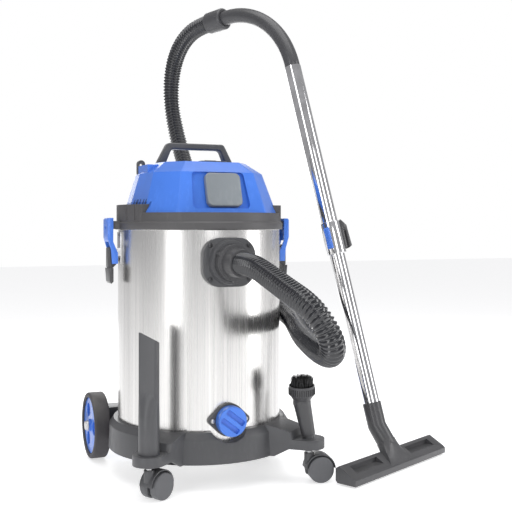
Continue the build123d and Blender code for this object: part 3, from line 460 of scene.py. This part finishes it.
blue = plastic("blue plastic", (0.055, 0.195, 0.730), 0.30, 0.05, 700.0, 0.03, 0.20)
dark_grey = plastic("dark grey plastic", (0.070, 0.071, 0.076), 0.38, 0.22, 1100.0, 0.06)
tool_grey = plastic("tool grey plastic", (0.062, 0.062, 0.066), 0.32, 0.12, 900.0, 0.05)
warm_grey = plastic("warm grey plastic", (0.078, 0.076, 0.079), 0.48, 0.25, 1100.0, 0.08)
caster_grey = plastic("caster grey plastic", (0.105, 0.107, 0.115), 0.42, 0.12, 900.0, 0.12)
light_grey = plastic("light grey plastic", (0.230, 0.255, 0.275), 0.38, 0.08, 900.0, 0.03)
ball_plastic = plastic("float plastic", (0.72, 0.72, 0.70), 0.35, 0.05, 700.0, 0.15)
print("plastics ready")


# %% [markdown]
# ## Metals
# The drum is stainless sheet with an upright brushed grain, so its streaks run along Z. The wand is
# bright chrome with faint wipe marks. Rivets, axles and the drain screws are duller zinc, and the
# inlet screws are blackened.


# %% Make the metals
def metal(name, colour, roughness, streaks=0.0, anisotropic=0.0):
    """Bare metal; with streaks it is brushed, without them it has only wipe marks."""
    material, tree, shader = start_material(name)
    shader.inputs["Metallic"].default_value = 1
    if streaks:
        brushed = use_group(tree, streak_group, Colour=(*colour, 1), Roughness=roughness, Strength=streaks)
        tree.links.new(brushed.outputs[0], shader.inputs["Base Color"])
        tree.links.new(brushed.outputs[1], shader.inputs["Roughness"])
        tree.links.new(brushed.outputs[2], shader.inputs["Normal"])
        shader.inputs["Anisotropic"].default_value = anisotropic
        return material
    marks = use_group(tree, scuff_group, Roughness=roughness, Amount=0.12)
    dull = tuple(channel * 0.8 for channel in colour)
    cloudy = blend_colour(tree, spread(tree, noise(tree, 35.0, 4.0), 0.4, 0.65, 0, 1), dull, colour)
    tree.links.new(cloudy, shader.inputs["Base Color"])
    tree.links.new(marks.outputs[0], shader.inputs["Roughness"])
    tree.links.new(bump(tree, noise(tree, 500.0, 3.0), 0.04, 0.0004), shader.inputs["Normal"])
    return material


drum_steel = metal("brushed drum steel", (0.74, 0.73, 0.715), 0.25, 0.10, 0.4)
chrome = metal("chrome", (0.86, 0.86, 0.87), 0.09)
zinc = metal("zinc plate", (0.62, 0.62, 0.63), 0.34)
aluminium = metal("pressed aluminium", (0.75, 0.75, 0.76), 0.38)
copper = metal("copper windings", (0.72, 0.34, 0.18), 0.36)
blackened = metal("blackened screw", (0.10, 0.10, 0.105), 0.36)
print("metals ready")

# %% [markdown]
# ## Rubber, hose, filter and paint
# The hose is a glossy dark polymer, the tyres are matt and dusty, the filter is creamy pleated
# paper, and the motor can wears thin grey paint.


# %% Make the other finishes
hose_finish = plastic("glossy hose", (0.012, 0.013, 0.017), 0.15, 0.02, 700.0, 0.02, 0.50)
tyre_rubber = plastic("tyre rubber", (0.050, 0.047, 0.052), 0.62, 0.35, 1300.0, 0.22)
soft_rubber = plastic("soft rubber", (0.022, 0.022, 0.024), 0.55, 0.20, 1200.0, 0.10)
bristle_finish = plastic("bristle nylon", (0.014, 0.014, 0.015), 0.42, 0.05, 700.0, 0.05)
filter_paper = plastic("filter paper", (0.66, 0.62, 0.52), 0.85, 0.50, 1500.0, 0.30)
motor_paint = plastic("motor paint", (0.16, 0.17, 0.18), 0.40, 0.12, 800.0, 0.15)
# near-black finish for painted slot shade: blocks on the cover that stand in for the shadow inside its slots
painted_slot_shade = plastic("shadow plastic", (0.012, 0.012, 0.014), 0.60, 0.15, 900.0, 0.0)
print("other finishes ready")

# %% [markdown]
# ## Sweep the hose
# The ribbed tube tree runs on the sampled centre line.

# %% Make the hose
hose = from_lists(
    "ribbed_hose", hose_path, [], [(n, n + 1) for n in range(len(hose_path) - 1)]
)
hose = apply_tree(hose, ribbed_tube, Radius=0.0210, Material=hose_finish,
                  **{"Rib Pitch": 0.0078, "Rib Depth": 0.0037})
fit(hose, "hose", hose_finish)
print("hose mesh", len(hose.data.polygons), "faces")

# %% [markdown]
# ## Soft edges on the moulded pieces
# No moulded edge is knife sharp. They could be rounded in CAD, edge by edge. Here a copy of a CAD
# piece is merged, its flat faces are joined, and a Bevel modifier rounds every edge sharper than 30
# degrees, which does all the pieces alike. The rounding catches the light, which is what makes a
# moulding look real. The head cover has its roundings in CAD, so its copy is only merged and smoothed.


# %% Round the CAD pieces' edges
def softened(node, name, width, material, segments=3, angle=30):
    """Soft-edged copy of a CAD node that stands for it; with no width it is only merged and smoothed."""
    mesh = frame["nodes"][node].data.copy()
    piece = link(bpy.data.objects.new(name, mesh))
    form = bmesh.new()
    form.from_mesh(mesh)
    bmesh.ops.remove_doubles(form, verts=form.verts, dist=2e-6)
    if width:
        bmesh.ops.dissolve_limit(form, angle_limit=radians(0.6), verts=form.verts, edges=form.edges)
    form.to_mesh(mesh)
    form.free()
    if width:
        bevel = piece.modifiers.new("soft edge", "BEVEL")
        bevel.width = width
        bevel.segments = segments
        bevel.limit_method = "ANGLE"
        bevel.angle_limit = radians(angle)
        bevel.miter_outer = "MITER_ARC"
        keep(piece)
    smooth(piece, 40 if width else 24)
    return fit(piece, node, material)


soft_pieces = [
    ("head_cover", 0, blue), ("head_collar", 0.0012, warm_grey), ("chassis_base", 0.0016, dark_grey),
    ("inlet_flange", 0.0016, dark_grey), ("hose_connector", 0.0012, tool_grey),
    ("drain_flange", 0.0010, dark_grey), ("drain_cap", 0.0010, blue),
    ("carry_handle", 0.0022, dark_grey), ("switch_panel", 0.0008, dark_grey),
    ("socket_insert", 0.0006, light_grey), ("socket_cover", 0.0030, light_grey),
    ("latch_brackets", 0.0006, zinc), ("blower_port", 0.0010, dark_grey), ("cord_gland", 0.0006, soft_rubber),
    ("cord_hook", 0.0010, dark_grey), ("hose_handle_cuff", 0.0012, tool_grey),
    ("handle_tube", 0.0008, tool_grey), ("wand_sleeve", 0.0010, chrome), ("wand_button", 0.0010, blue),
    ("parking_clip", 0.0008, tool_grey), ("floor_nozzle", 0.0016, tool_grey),
    ("crevice_nozzle", 0.0010, dark_grey), ("dusting_brush", 0.0008, tool_grey),
    ("axle_caps", 0.0008, zinc), ("power_rocker", 0.0006, soft_rubber),
]
for side in ("left", "right"):
    soft_pieces += [
        (f"latch_clip_{side}", 0.0012, blue), (f"latch_lever_{side}", 0.0012, tool_grey),
        (f"rear_hub_{side}", 0.0014, blue), (f"rear_tyre_{side}", 0.0020, tyre_rubber),
        (f"caster_hood_{side}", 0.0010, dark_grey),
        (f"caster_wheel_outer_{side}", 0.0008, caster_grey),
        (f"caster_wheel_inner_{side}", 0.0008, caster_grey),
    ]
for node, width, material in soft_pieces:
    piece = softened(node, "soft_" + node, width, material)
print(len(soft_pieces), "pieces have soft edges")

# %% [markdown]
# ## CAD pieces that keep their shape
# Tubes, pins, the drum and the parts inside the head are already right. They only get a finish.

# %% Give the remaining CAD pieces their finishes
kept_finishes = {
    "drum": drum_steel, "rear_axle": zinc, "inlet_deflector": dark_grey,
    "latch_fasteners": zinc, "head_gasket": soft_rubber, "fan_housing": dark_grey, "motor_can": motor_paint,
    "motor_rotor": copper, "impeller": aluminium, "filter_cage": dark_grey, "float_ball": ball_plastic,
    "filter_cap": dark_grey, "wand_inner_tube": chrome,
    "wand_outer_tube": chrome,
    "caster_pins_left": zinc, "caster_pins_right": zinc,
}
for node, material in kept_finishes.items():
    mesh = frame["nodes"][node].data
    mesh.materials.clear()
    mesh.materials.append(material)
print(len(kept_finishes), "CAD pieces keep their shape")

# %% [markdown]
# ## Copies on points
# Tyre ribs, screw recesses, fins and pleats repeat one small shape. The tree below puts a copy on
# every point of a mesh, turned by that point's own "turn" attribute. Changing the small shape or the
# points changes every copy.

# %% Build the tree that copies a shape onto points
copies_tree, copies_in, copies_out = new_tree("copies on points")
add_input(copies_tree, "Shape", "NodeSocketObject", None)
add_input(copies_tree, "Size", "NodeSocketFloat", 1.0)
add_input(copies_tree, "Material", "NodeSocketMaterial", None)
shape_info = copies_tree.nodes.new("GeometryNodeObjectInfo")
turn_reader = copies_tree.nodes.new("GeometryNodeInputNamedAttribute")
turn_reader.data_type = "FLOAT_VECTOR"
turn_reader.inputs["Name"].default_value = "turn"
place_copies = copies_tree.nodes.new("GeometryNodeInstanceOnPoints")
copies_tree.links.new(copies_in.outputs[0], place_copies.inputs["Points"])
copies_tree.links.new(copies_in.outputs["Shape"], shape_info.inputs["Object"])
copies_tree.links.new(shape_info.outputs["Geometry"], place_copies.inputs["Instance"])
copies_tree.links.new(turn_reader.outputs[0], place_copies.inputs["Rotation"])
copies_tree.links.new(copies_in.outputs["Size"], place_copies.inputs["Scale"])
finish_tree(copies_tree, place_copies.outputs[0], copies_in.outputs["Material"], copies_out)


def copies(name, shape, frames, material, size=1.0):
    """One mesh with a copy of a shape in every frame (a 4x4 matrix), then the shape is removed."""
    piece = from_lists(name, [frame_.translation for frame_ in frames], [])
    turns = piece.data.attributes.new("turn", "FLOAT_VECTOR", "POINT")
    for value, frame_ in zip(turns.data, frames):
        value.vector = frame_.to_euler("XYZ")
    apply_tree(piece, copies_tree, Shape=shape, Size=size, Material=material)
    bpy.data.objects.remove(shape)
    return piece


def frame_at(origin, out, up=(0, 0, 1)):
    """Frame at a point: its z faces outwards, its y leans towards up."""
    z_axis = Vector(out).normalized()
    x_axis = Vector(up).cross(z_axis).normalized()
    y_axis = z_axis.cross(x_axis)
    turned = Matrix((x_axis, y_axis, z_axis)).transposed().to_4x4()
    turned.translation = Vector(origin)
    return turned


def block(name, size, bevel=0.0):
    """Small bevelled block, centred on its base."""
    x, y, z = size[0] / 2, size[1] / 2, size[2]
    points = [(sx * x, sy * y, 0) for sx, sy in ((-1, -1), (1, -1), (1, 1), (-1, 1))]
    points += [(sx * (x - bevel), sy * (y - bevel), z) for sx, sy in ((-1, -1), (1, -1), (1, 1), (-1, 1))]
    faces = [(3, 2, 1, 0), (4, 5, 6, 7)] + [(n, (n + 1) % 4, (n + 1) % 4 + 4, n + 4) for n in range(4)]
    return from_lists(name, points, faces)


print("copy tree has", len(copies_tree.nodes), "nodes")

# %% [markdown]
# ## Tyre ribs
# Each rear tyre has low cross ribs all round its tread. The rib is one bevelled block, copied onto a
# ring of points.

# %% Put ribs on the rear tyres
rib_count = 48
for side in ("left", "right"):
    low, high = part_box(f"rear_tyre_{side}")
    centre = (Vector(low) + Vector(high)) / 2
    reach = (high[2] - low[2]) / 2 - 0.0006
    ring = []
    for number in range(rib_count):
        angle = 2 * pi * number / rib_count
        out = Vector((0, cos(angle), sin(angle)))
        ring.append(frame_at(centre + out * (reach - 0.0006), out, (1, 0, 0)))
    ribs = copies(f"tyre_ribs_{side}", block("rib", (0.0040, 0.0255, 0.0012), 0.0006), ring, tyre_rubber)
    fit(ribs, f"rear_tyre_{side}", tyre_rubber, replace=False)
print(rib_count, "ribs on each tyre, reach", round(reach, 4))

# %% [markdown]
# ## Bristles
# A brush is a field of thin tapering hairs. The tree scatters points on a face with a fixed seed and
# stands a hair on each, leaning a little at random, so no two look the same.

# %% Build the bristle tree
bristle_tree, bristle_in, bristle_out = new_tree("bristles")
add_input(bristle_tree, "Count per Square Metre", "NodeSocketFloat", 250000.0)
add_input(bristle_tree, "Hair Length", "NodeSocketFloat", 0.02)
add_input(bristle_tree, "Hair Radius", "NodeSocketFloat", 0.0004)
add_input(bristle_tree, "Lean", "NodeSocketFloat", 0.1)
add_input(bristle_tree, "Seed", "NodeSocketInt", 7)
add_input(bristle_tree, "Material", "NodeSocketMaterial", None)
scatter = bristle_tree.nodes.new("GeometryNodeDistributePointsOnFaces")
hair = bristle_tree.nodes.new("GeometryNodeMeshCone")
hair.inputs["Vertices"].default_value = 5
stand = bristle_tree.nodes.new("GeometryNodeInstanceOnPoints")
lean_by = bristle_tree.nodes.new("FunctionNodeRandomValue")
lean_by.data_type = "FLOAT_VECTOR"
tilt = bristle_tree.nodes.new("FunctionNodeRotateRotation")
grow = bristle_tree.nodes.new("FunctionNodeRandomValue")
links = bristle_tree.links
links.new(bristle_in.outputs[0], scatter.inputs["Mesh"])
links.new(bristle_in.outputs["Count per Square Metre"], scatter.inputs["Density"])
links.new(bristle_in.outputs["Seed"], scatter.inputs["Seed"])
links.new(bristle_in.outputs["Hair Length"], hair.inputs["Depth"])
links.new(bristle_in.outputs["Hair Radius"], hair.inputs["Radius Bottom"])
tip_radius = math_node(bristle_tree, "MULTIPLY", bristle_in.outputs["Hair Radius"], 0.4)
links.new(tip_radius, hair.inputs["Radius Top"])
links.new(scatter.outputs["Points"], stand.inputs["Points"])
links.new(hair.outputs["Mesh"], stand.inputs["Instance"])
spread_out = bristle_tree.nodes.new("ShaderNodeCombineXYZ")
spread_in = bristle_tree.nodes.new("ShaderNodeCombineXYZ")
for place in (0, 1):
    links.new(bristle_in.outputs["Lean"], spread_out.inputs[place])
    links.new(math_node(bristle_tree, "MULTIPLY", bristle_in.outputs["Lean"], -1.0), spread_in.inputs[place])
links.new(spread_in.outputs[0], lean_by.inputs[0])
links.new(spread_out.outputs[0], lean_by.inputs[1])
links.new(bristle_in.outputs["Seed"], lean_by.inputs["Seed"])
links.new(scatter.outputs["Rotation"], tilt.inputs["Rotation"])
links.new(lean_by.outputs[0], tilt.inputs["Rotate By"])
tilt.rotation_space = "LOCAL"
links.new(tilt.outputs[0], stand.inputs["Rotation"])
grow.inputs[2].default_value, grow.inputs[3].default_value = 0.82, 1.0
links.new(grow.outputs[1], stand.inputs["Scale"])
finish_tree(bristle_tree, stand.outputs[0], bristle_in.outputs["Material"], bristle_out)
print("bristle tree has", len(bristle_tree.nodes), "nodes")

# %% [markdown]
# ## Turned shapes and loose islands
# Screw heads and rings are turned, so one helper spins a half profile about z. A CAD node can hold
# several separate solids; `islands` finds them, so that a detailed piece goes exactly where the
# plain one was.


# %% Add helpers for turned shapes and islands
def turned(name, profile, steps=20):
    """Closed shape spun about z from (radius, height) points; a point at radius 0 closes an end."""
    points, rings = [], []
    for radius_, height in profile:
        count = steps if radius_ > 0 else 1
        rings.append(range(len(points), len(points) + count))
        points += [
            (radius_ * cos(2 * pi * n / steps), radius_ * sin(2 * pi * n / steps), height)
            for n in range(count)
        ]
    faces = []
    for lower, upper in zip(rings, rings[1:]):
        for n in range(steps):
            m = (n + 1) % steps
            corners = [lower[n % len(lower)], lower[m % len(lower)]]
            corners += [upper[m % len(upper)], upper[n % len(upper)]]
            faces.append(list(dict.fromkeys(corners)))
    return from_lists(name, points, faces)


def islands(node):
    """The separate solids of a CAD node, each as a list of its points."""
    form = bmesh.new()
    form.from_mesh(frame["nodes"][node].data)
    bmesh.ops.remove_doubles(form, verts=form.verts, dist=2e-6)
    left, found = set(form.verts), []
    for start in list(form.verts):
        if start not in left:
            continue
        left.discard(start)
        stack, island = [start], []
        while stack:
            point = stack.pop()
            island.append(point.co.copy())
            for edge in point.link_edges:
                other = edge.other_vert(point)
                if other in left:
                    left.discard(other)
                    stack.append(other)
        found.append(island)
    form.free()
    return found


def middle(points):
    """Middle of the box round some points."""
    return Vector([(min(p[i] for p in points) + max(p[i] for p in points)) / 2 for i in range(3)])


# %% [markdown]
# ## Flange screws
# Four blackened screws hold the hose inlet and two bright ones the drain. Each has a pan head with a
# cross recess. The recess is cut once, in one screw, before the copies are made.

# %% Make the flange screws
head_radius, head_height, shank_radius, shank_length = 0.0044, 0.0025, 0.0026, 0.024


def cross_screw():
    """Pan-head screw with a cross recess, its seat at z = 0."""
    screw = turned("screw", [
        (0, -shank_length), (shank_radius, -shank_length), (shank_radius, 0), (head_radius, 0),
        (head_radius, 0.0009), (0.0036, 0.0020), (0.0018, head_height), (0, head_height),
    ])
    for size in ((0.0048, 0.0010, 0.003), (0.0010, 0.0048, 0.003)):
        cutter = block("recess", size)
        for vertex in cutter.data.vertices:
            vertex.co.z += head_height - 0.0014
        cut = screw.modifiers.new("recess", "BOOLEAN")
        cut.operation, cut.solver, cut.object = "DIFFERENCE", "EXACT", cutter
        keep(screw)
        bpy.data.objects.remove(cutter)
    return screw


inlet_frames, drain_frames = [], []
for island in islands("flange_screws"):
    centre = middle(island)
    face_y = min(point.y for point in island) + head_height
    spot = frame_at((centre.x, face_y, centre.z), (0, -1, 0))
    (inlet_frames if centre.z > 0.25 else drain_frames).append(spot)
inlet_screws = copies("inlet_screws", cross_screw(), inlet_frames, blackened)
fit(inlet_screws, "flange_screws", blackened)
drain_screws = copies("drain_screws", cross_screw(), drain_frames, zinc)
fit(drain_screws, "flange_screws", zinc, replace=False)
print(len(inlet_frames), "inlet screws and", len(drain_frames), "drain screws")

# %% [markdown]
# ## Dusting brush hair
# The brush head is a ribbed ring filled with stiff black hair. The hair grows from a disc inside the
# ring, and the ring's ribs are copies of one small block.

# %% Grow the dusting brush
brush_axis = Vector((-0.06, -0.10, 0.99)).normalized()
brush_low, brush_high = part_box("brush_bristles")
brush_centre = (Vector(brush_low) + Vector(brush_high)) / 2
hair_length = 0.0215
hair_root = brush_centre - brush_axis * hair_length / 2
side_axis = brush_axis.orthogonal().normalized()
other_axis = brush_axis.cross(side_axis)


def around_brush(radius_, number, count):
    """Direction and point at one step round the brush axis."""
    angle = 2 * pi * number / count
    out = side_axis * cos(angle) + other_axis * sin(angle)
    return out, hair_root + out * radius_


disc_radius, disc_steps = 0.0205, 24
disc_points = [hair_root] + [around_brush(disc_radius, n, disc_steps)[1] for n in range(disc_steps)]
disc_faces = [(0, n + 1, (n + 1) % disc_steps + 1) for n in range(disc_steps)]
brush_hair = from_lists("brush_hair", disc_points, disc_faces)
brush_hair = apply_tree(
    brush_hair, bristle_tree, Seed=11, Lean=0.20, Material=bristle_finish,
    **{"Count per Square Metre": 420000.0, "Hair Length": hair_length, "Hair Radius": 0.00065},
)
fit(brush_hair, "brush_bristles", bristle_finish)
ring_frames = []
crown_rib_count, crown_radius = 36, 0.0247
for number in range(crown_rib_count):
    out, place = around_brush(crown_radius, number, crown_rib_count)
    ring_frames.append(frame_at(place - brush_axis * 0.007, out, brush_axis))
crown_ribs = copies("crown_ribs", block("rib", (0.0019, 0.0125, 0.0013), 0.0004), ring_frames, soft_rubber)
fit(crown_ribs, "dusting_brush", soft_rubber, replace=False)
print("brush hair has", len(brush_hair.data.polygons), "faces")

# %% [markdown]
# ## Floor nozzle hair
# Two strips of short hair hang under the nozzle. The same tree grows them from the top of each strip,
# pointing down.

# %% Grow the nozzle strips
strip_points, strip_faces = [], []
for island in islands("nozzle_strips"):
    top = [point for point in island if point.z > middle(island).z]
    centre = middle(top)
    top.sort(key=lambda point: atan2(point.y - centre.y, point.x - centre.x), reverse=True)
    strip_faces.append([len(strip_points) + n for n in range(len(top))])
    strip_points += top
nozzle_hair = from_lists("nozzle_hair", strip_points, strip_faces)
nozzle_hair = apply_tree(
    nozzle_hair, bristle_tree, Seed=5, Lean=0.06, Material=bristle_finish,
    **{"Count per Square Metre": 500000.0, "Hair Length": 0.0078, "Hair Radius": 0.00045},
)
fit(nozzle_hair, "nozzle_strips", bristle_finish)
print("nozzle hair has", len(nozzle_hair.data.polygons), "faces")

# %% [markdown]
# ## Filter pleats
# The cartridge is a sheet of paper folded back and forth round a core, between two rubber rings. One
# fold is a wedge, and the copies tree sets it round the axis.

# %% Fold the filter
filter_low, filter_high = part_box("filter_cartridge")
filter_radius = (filter_high[0] - filter_low[0]) / 2
filter_middle = (filter_low[2] + filter_high[2]) / 2
end_height, pleat_count, core_radius = 0.009, 96, 0.0610
half_fold = pi * core_radius / pleat_count
half_height = (filter_high[2] - filter_low[2]) / 2 - end_height
tip = filter_radius - 0.0015 - core_radius
fold = from_lists(
    "fold",
    [(x, y, z) for y in (-half_height, half_height) for x, z in ((-half_fold, 0), (half_fold, 0), (0, tip))],
    [(0, 1, 2), (5, 4, 3), (1, 0, 3, 4), (2, 1, 4, 5), (0, 2, 5, 3)],
)
pleat_frames = []
for number in range(pleat_count):
    angle = 2 * pi * number / pleat_count
    out = Vector((cos(angle), sin(angle), 0))
    pleat_frames.append(frame_at(out * core_radius + Vector((0, 0, filter_middle)), out))
pleats = copies("filter_pleats", fold, pleat_frames, filter_paper)
fit(pleats, "filter_cartridge", filter_paper)
for number, base in enumerate((filter_low[2], filter_high[2] - end_height)):
    ring = turned(f"filter_end_{number}", [
        (core_radius - 0.001, base), (filter_radius - 0.0015, base), (filter_radius, base + 0.0015),
        (filter_radius, base + end_height - 0.0015), (filter_radius - 0.0015, base + end_height),
        (core_radius - 0.001, base + end_height), (core_radius - 0.001, base),
    ], 64)
    form = bmesh.new()
    form.from_mesh(ring.data)
    bmesh.ops.remove_doubles(form, verts=form.verts, dist=1e-6)
    bmesh.ops.recalc_face_normals(form, faces=form.faces)
    form.to_mesh(ring.data)
    form.free()
    smooth(ring)
    fit(ring, "filter_cartridge", soft_rubber, replace=False)
print(pleat_count, "pleats of", round(tip * 1000, 1), "mm")

# %% [markdown]
# ## Exhaust louvres
# The motor's air leaves through rows of upright slots that CAD has cut in the cover. Small near-black
# blocks are added on some of the bars between them, low on the left: painted shade, standing in for
# the shadow inside the slots. They could be spaced from the slots' own pitch, which would be even.
# Here a ray from outside finds the cover's face: where it meets a bar a block is set, and where it
# meets an open slot it passes through and none is, so the row is uneven.

# %% Set the exhaust louvres
cover_mesh = frame["nodes"]["head_cover"].data
cover_faces = BVHTree.FromPolygons(
    [vertex.co for vertex in cover_mesh.vertices], [tuple(face.vertices) for face in cover_mesh.polygons]
)
cover_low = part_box("head_cover")[0]
louvre_frames = []
louvre_count, louvre_start, louvre_pitch, louvre_height = 13, -0.074, 0.0055, 0.017
for number in range(louvre_count):
    place = Vector((cover_low[0] - 0.1, louvre_start + louvre_pitch * number, cover_low[2] + louvre_height))
    where, facing_out, _, _ = cover_faces.ray_cast(place, Vector((1, 0, 0)))
    if where:
        louvre_frames.append(frame_at(where - facing_out * 0.0004, facing_out))
# each near-black block is painted shade for a slot opening, set on the cover's face
slot_shade_block = block("slot", (0.0030, 0.0200, 0.0008), 0.0004)
louvre_shade_blocks = copies("exhaust_louvres", slot_shade_block, louvre_frames, painted_slot_shade)
fit(louvre_shade_blocks, "head_cover", painted_slot_shade, replace=False)
print(len(louvre_frames), "louvre_shade_blocks")

# %% [markdown]
# ## Floor and light
# A plain pale floor, and five soft boxes in a plain grey room: left, front, right, back and overhead.
# Upright boxes leave upright bands in the drum and the wand. The floor glows a little, as a lit
# table does, so that it meets the white backdrop without a line.


# %% Make the floor and the lights
floor_finish, _, floor_shader = start_material("pale floor")
floor_shader.inputs["Base Color"].default_value = (0.80, 0.80, 0.80, 1)
floor_shader.inputs["Emission Color"].default_value = (1, 1, 1, 1)
floor_shader.inputs["Emission Strength"].default_value = 0.58
floor_shader.inputs["Roughness"].default_value = 0.55
floor_reach, floor_level = 9, -0.0005
floor_corners = [
    (x * floor_reach, y * floor_reach, floor_level) for x, y in ((-1, -1), (1, -1), (1, 1), (-1, 1))
]
floor = from_lists("floor", floor_corners, [(0, 1, 2, 3)])
floor.data.materials.append(floor_finish)


def panel(name, place, target, width, height, power):
    """Soft rectangular light that faces a point."""
    light = bpy.data.lights.new(name, "AREA")
    light.shape = "RECTANGLE"
    light.size, light.size_y = width, height
    light.energy = power
    lamp = link(bpy.data.objects.new(name, light))
    lamp.location = place
    lamp.visible_camera = False
    lamp.rotation_euler = (Vector(target) - Vector(place)).to_track_quat("-Z", "Y").to_euler()
    return lamp


panel("left soft box", (-2.0, -1.5, 0.9), (0, 0, 0.4), 0.6, 2.2, 16)
panel("front soft box", (-0.15, -2.9, 1.3), (0, 0, 0.4), 0.9, 1.6, 14)
panel("right soft box", (2.1, -1.2, 0.9), (0, 0, 0.4), 0.6, 2.2, 18)
panel("back soft box", (0.6, 2.4, 1.2), (0, 0, 0.4), 1.4, 1.8, 20)
panel("top soft box", (0.0, -0.3, 2.8), (0, 0, 0), 2.4, 2.4, 40)

world = bpy.data.worlds.new("studio")
world.use_nodes = True
bpy.context.scene.world = world
sky = world.node_tree
background = sky.nodes["Background"]
seen_directly = sky.nodes.new("ShaderNodeLightPath")
room_grey, backdrop_white = (0.40, 0.40, 0.41), (1.0, 1.0, 1.0)
sky.links.new(
    blend_colour(sky, seen_directly.outputs["Is Camera Ray"], room_grey, backdrop_white),
    background.inputs["Color"],
)
background.inputs["Strength"].default_value = 1.0
bpy.context.scene.view_settings.view_transform = "Standard"
print("light and floor ready")
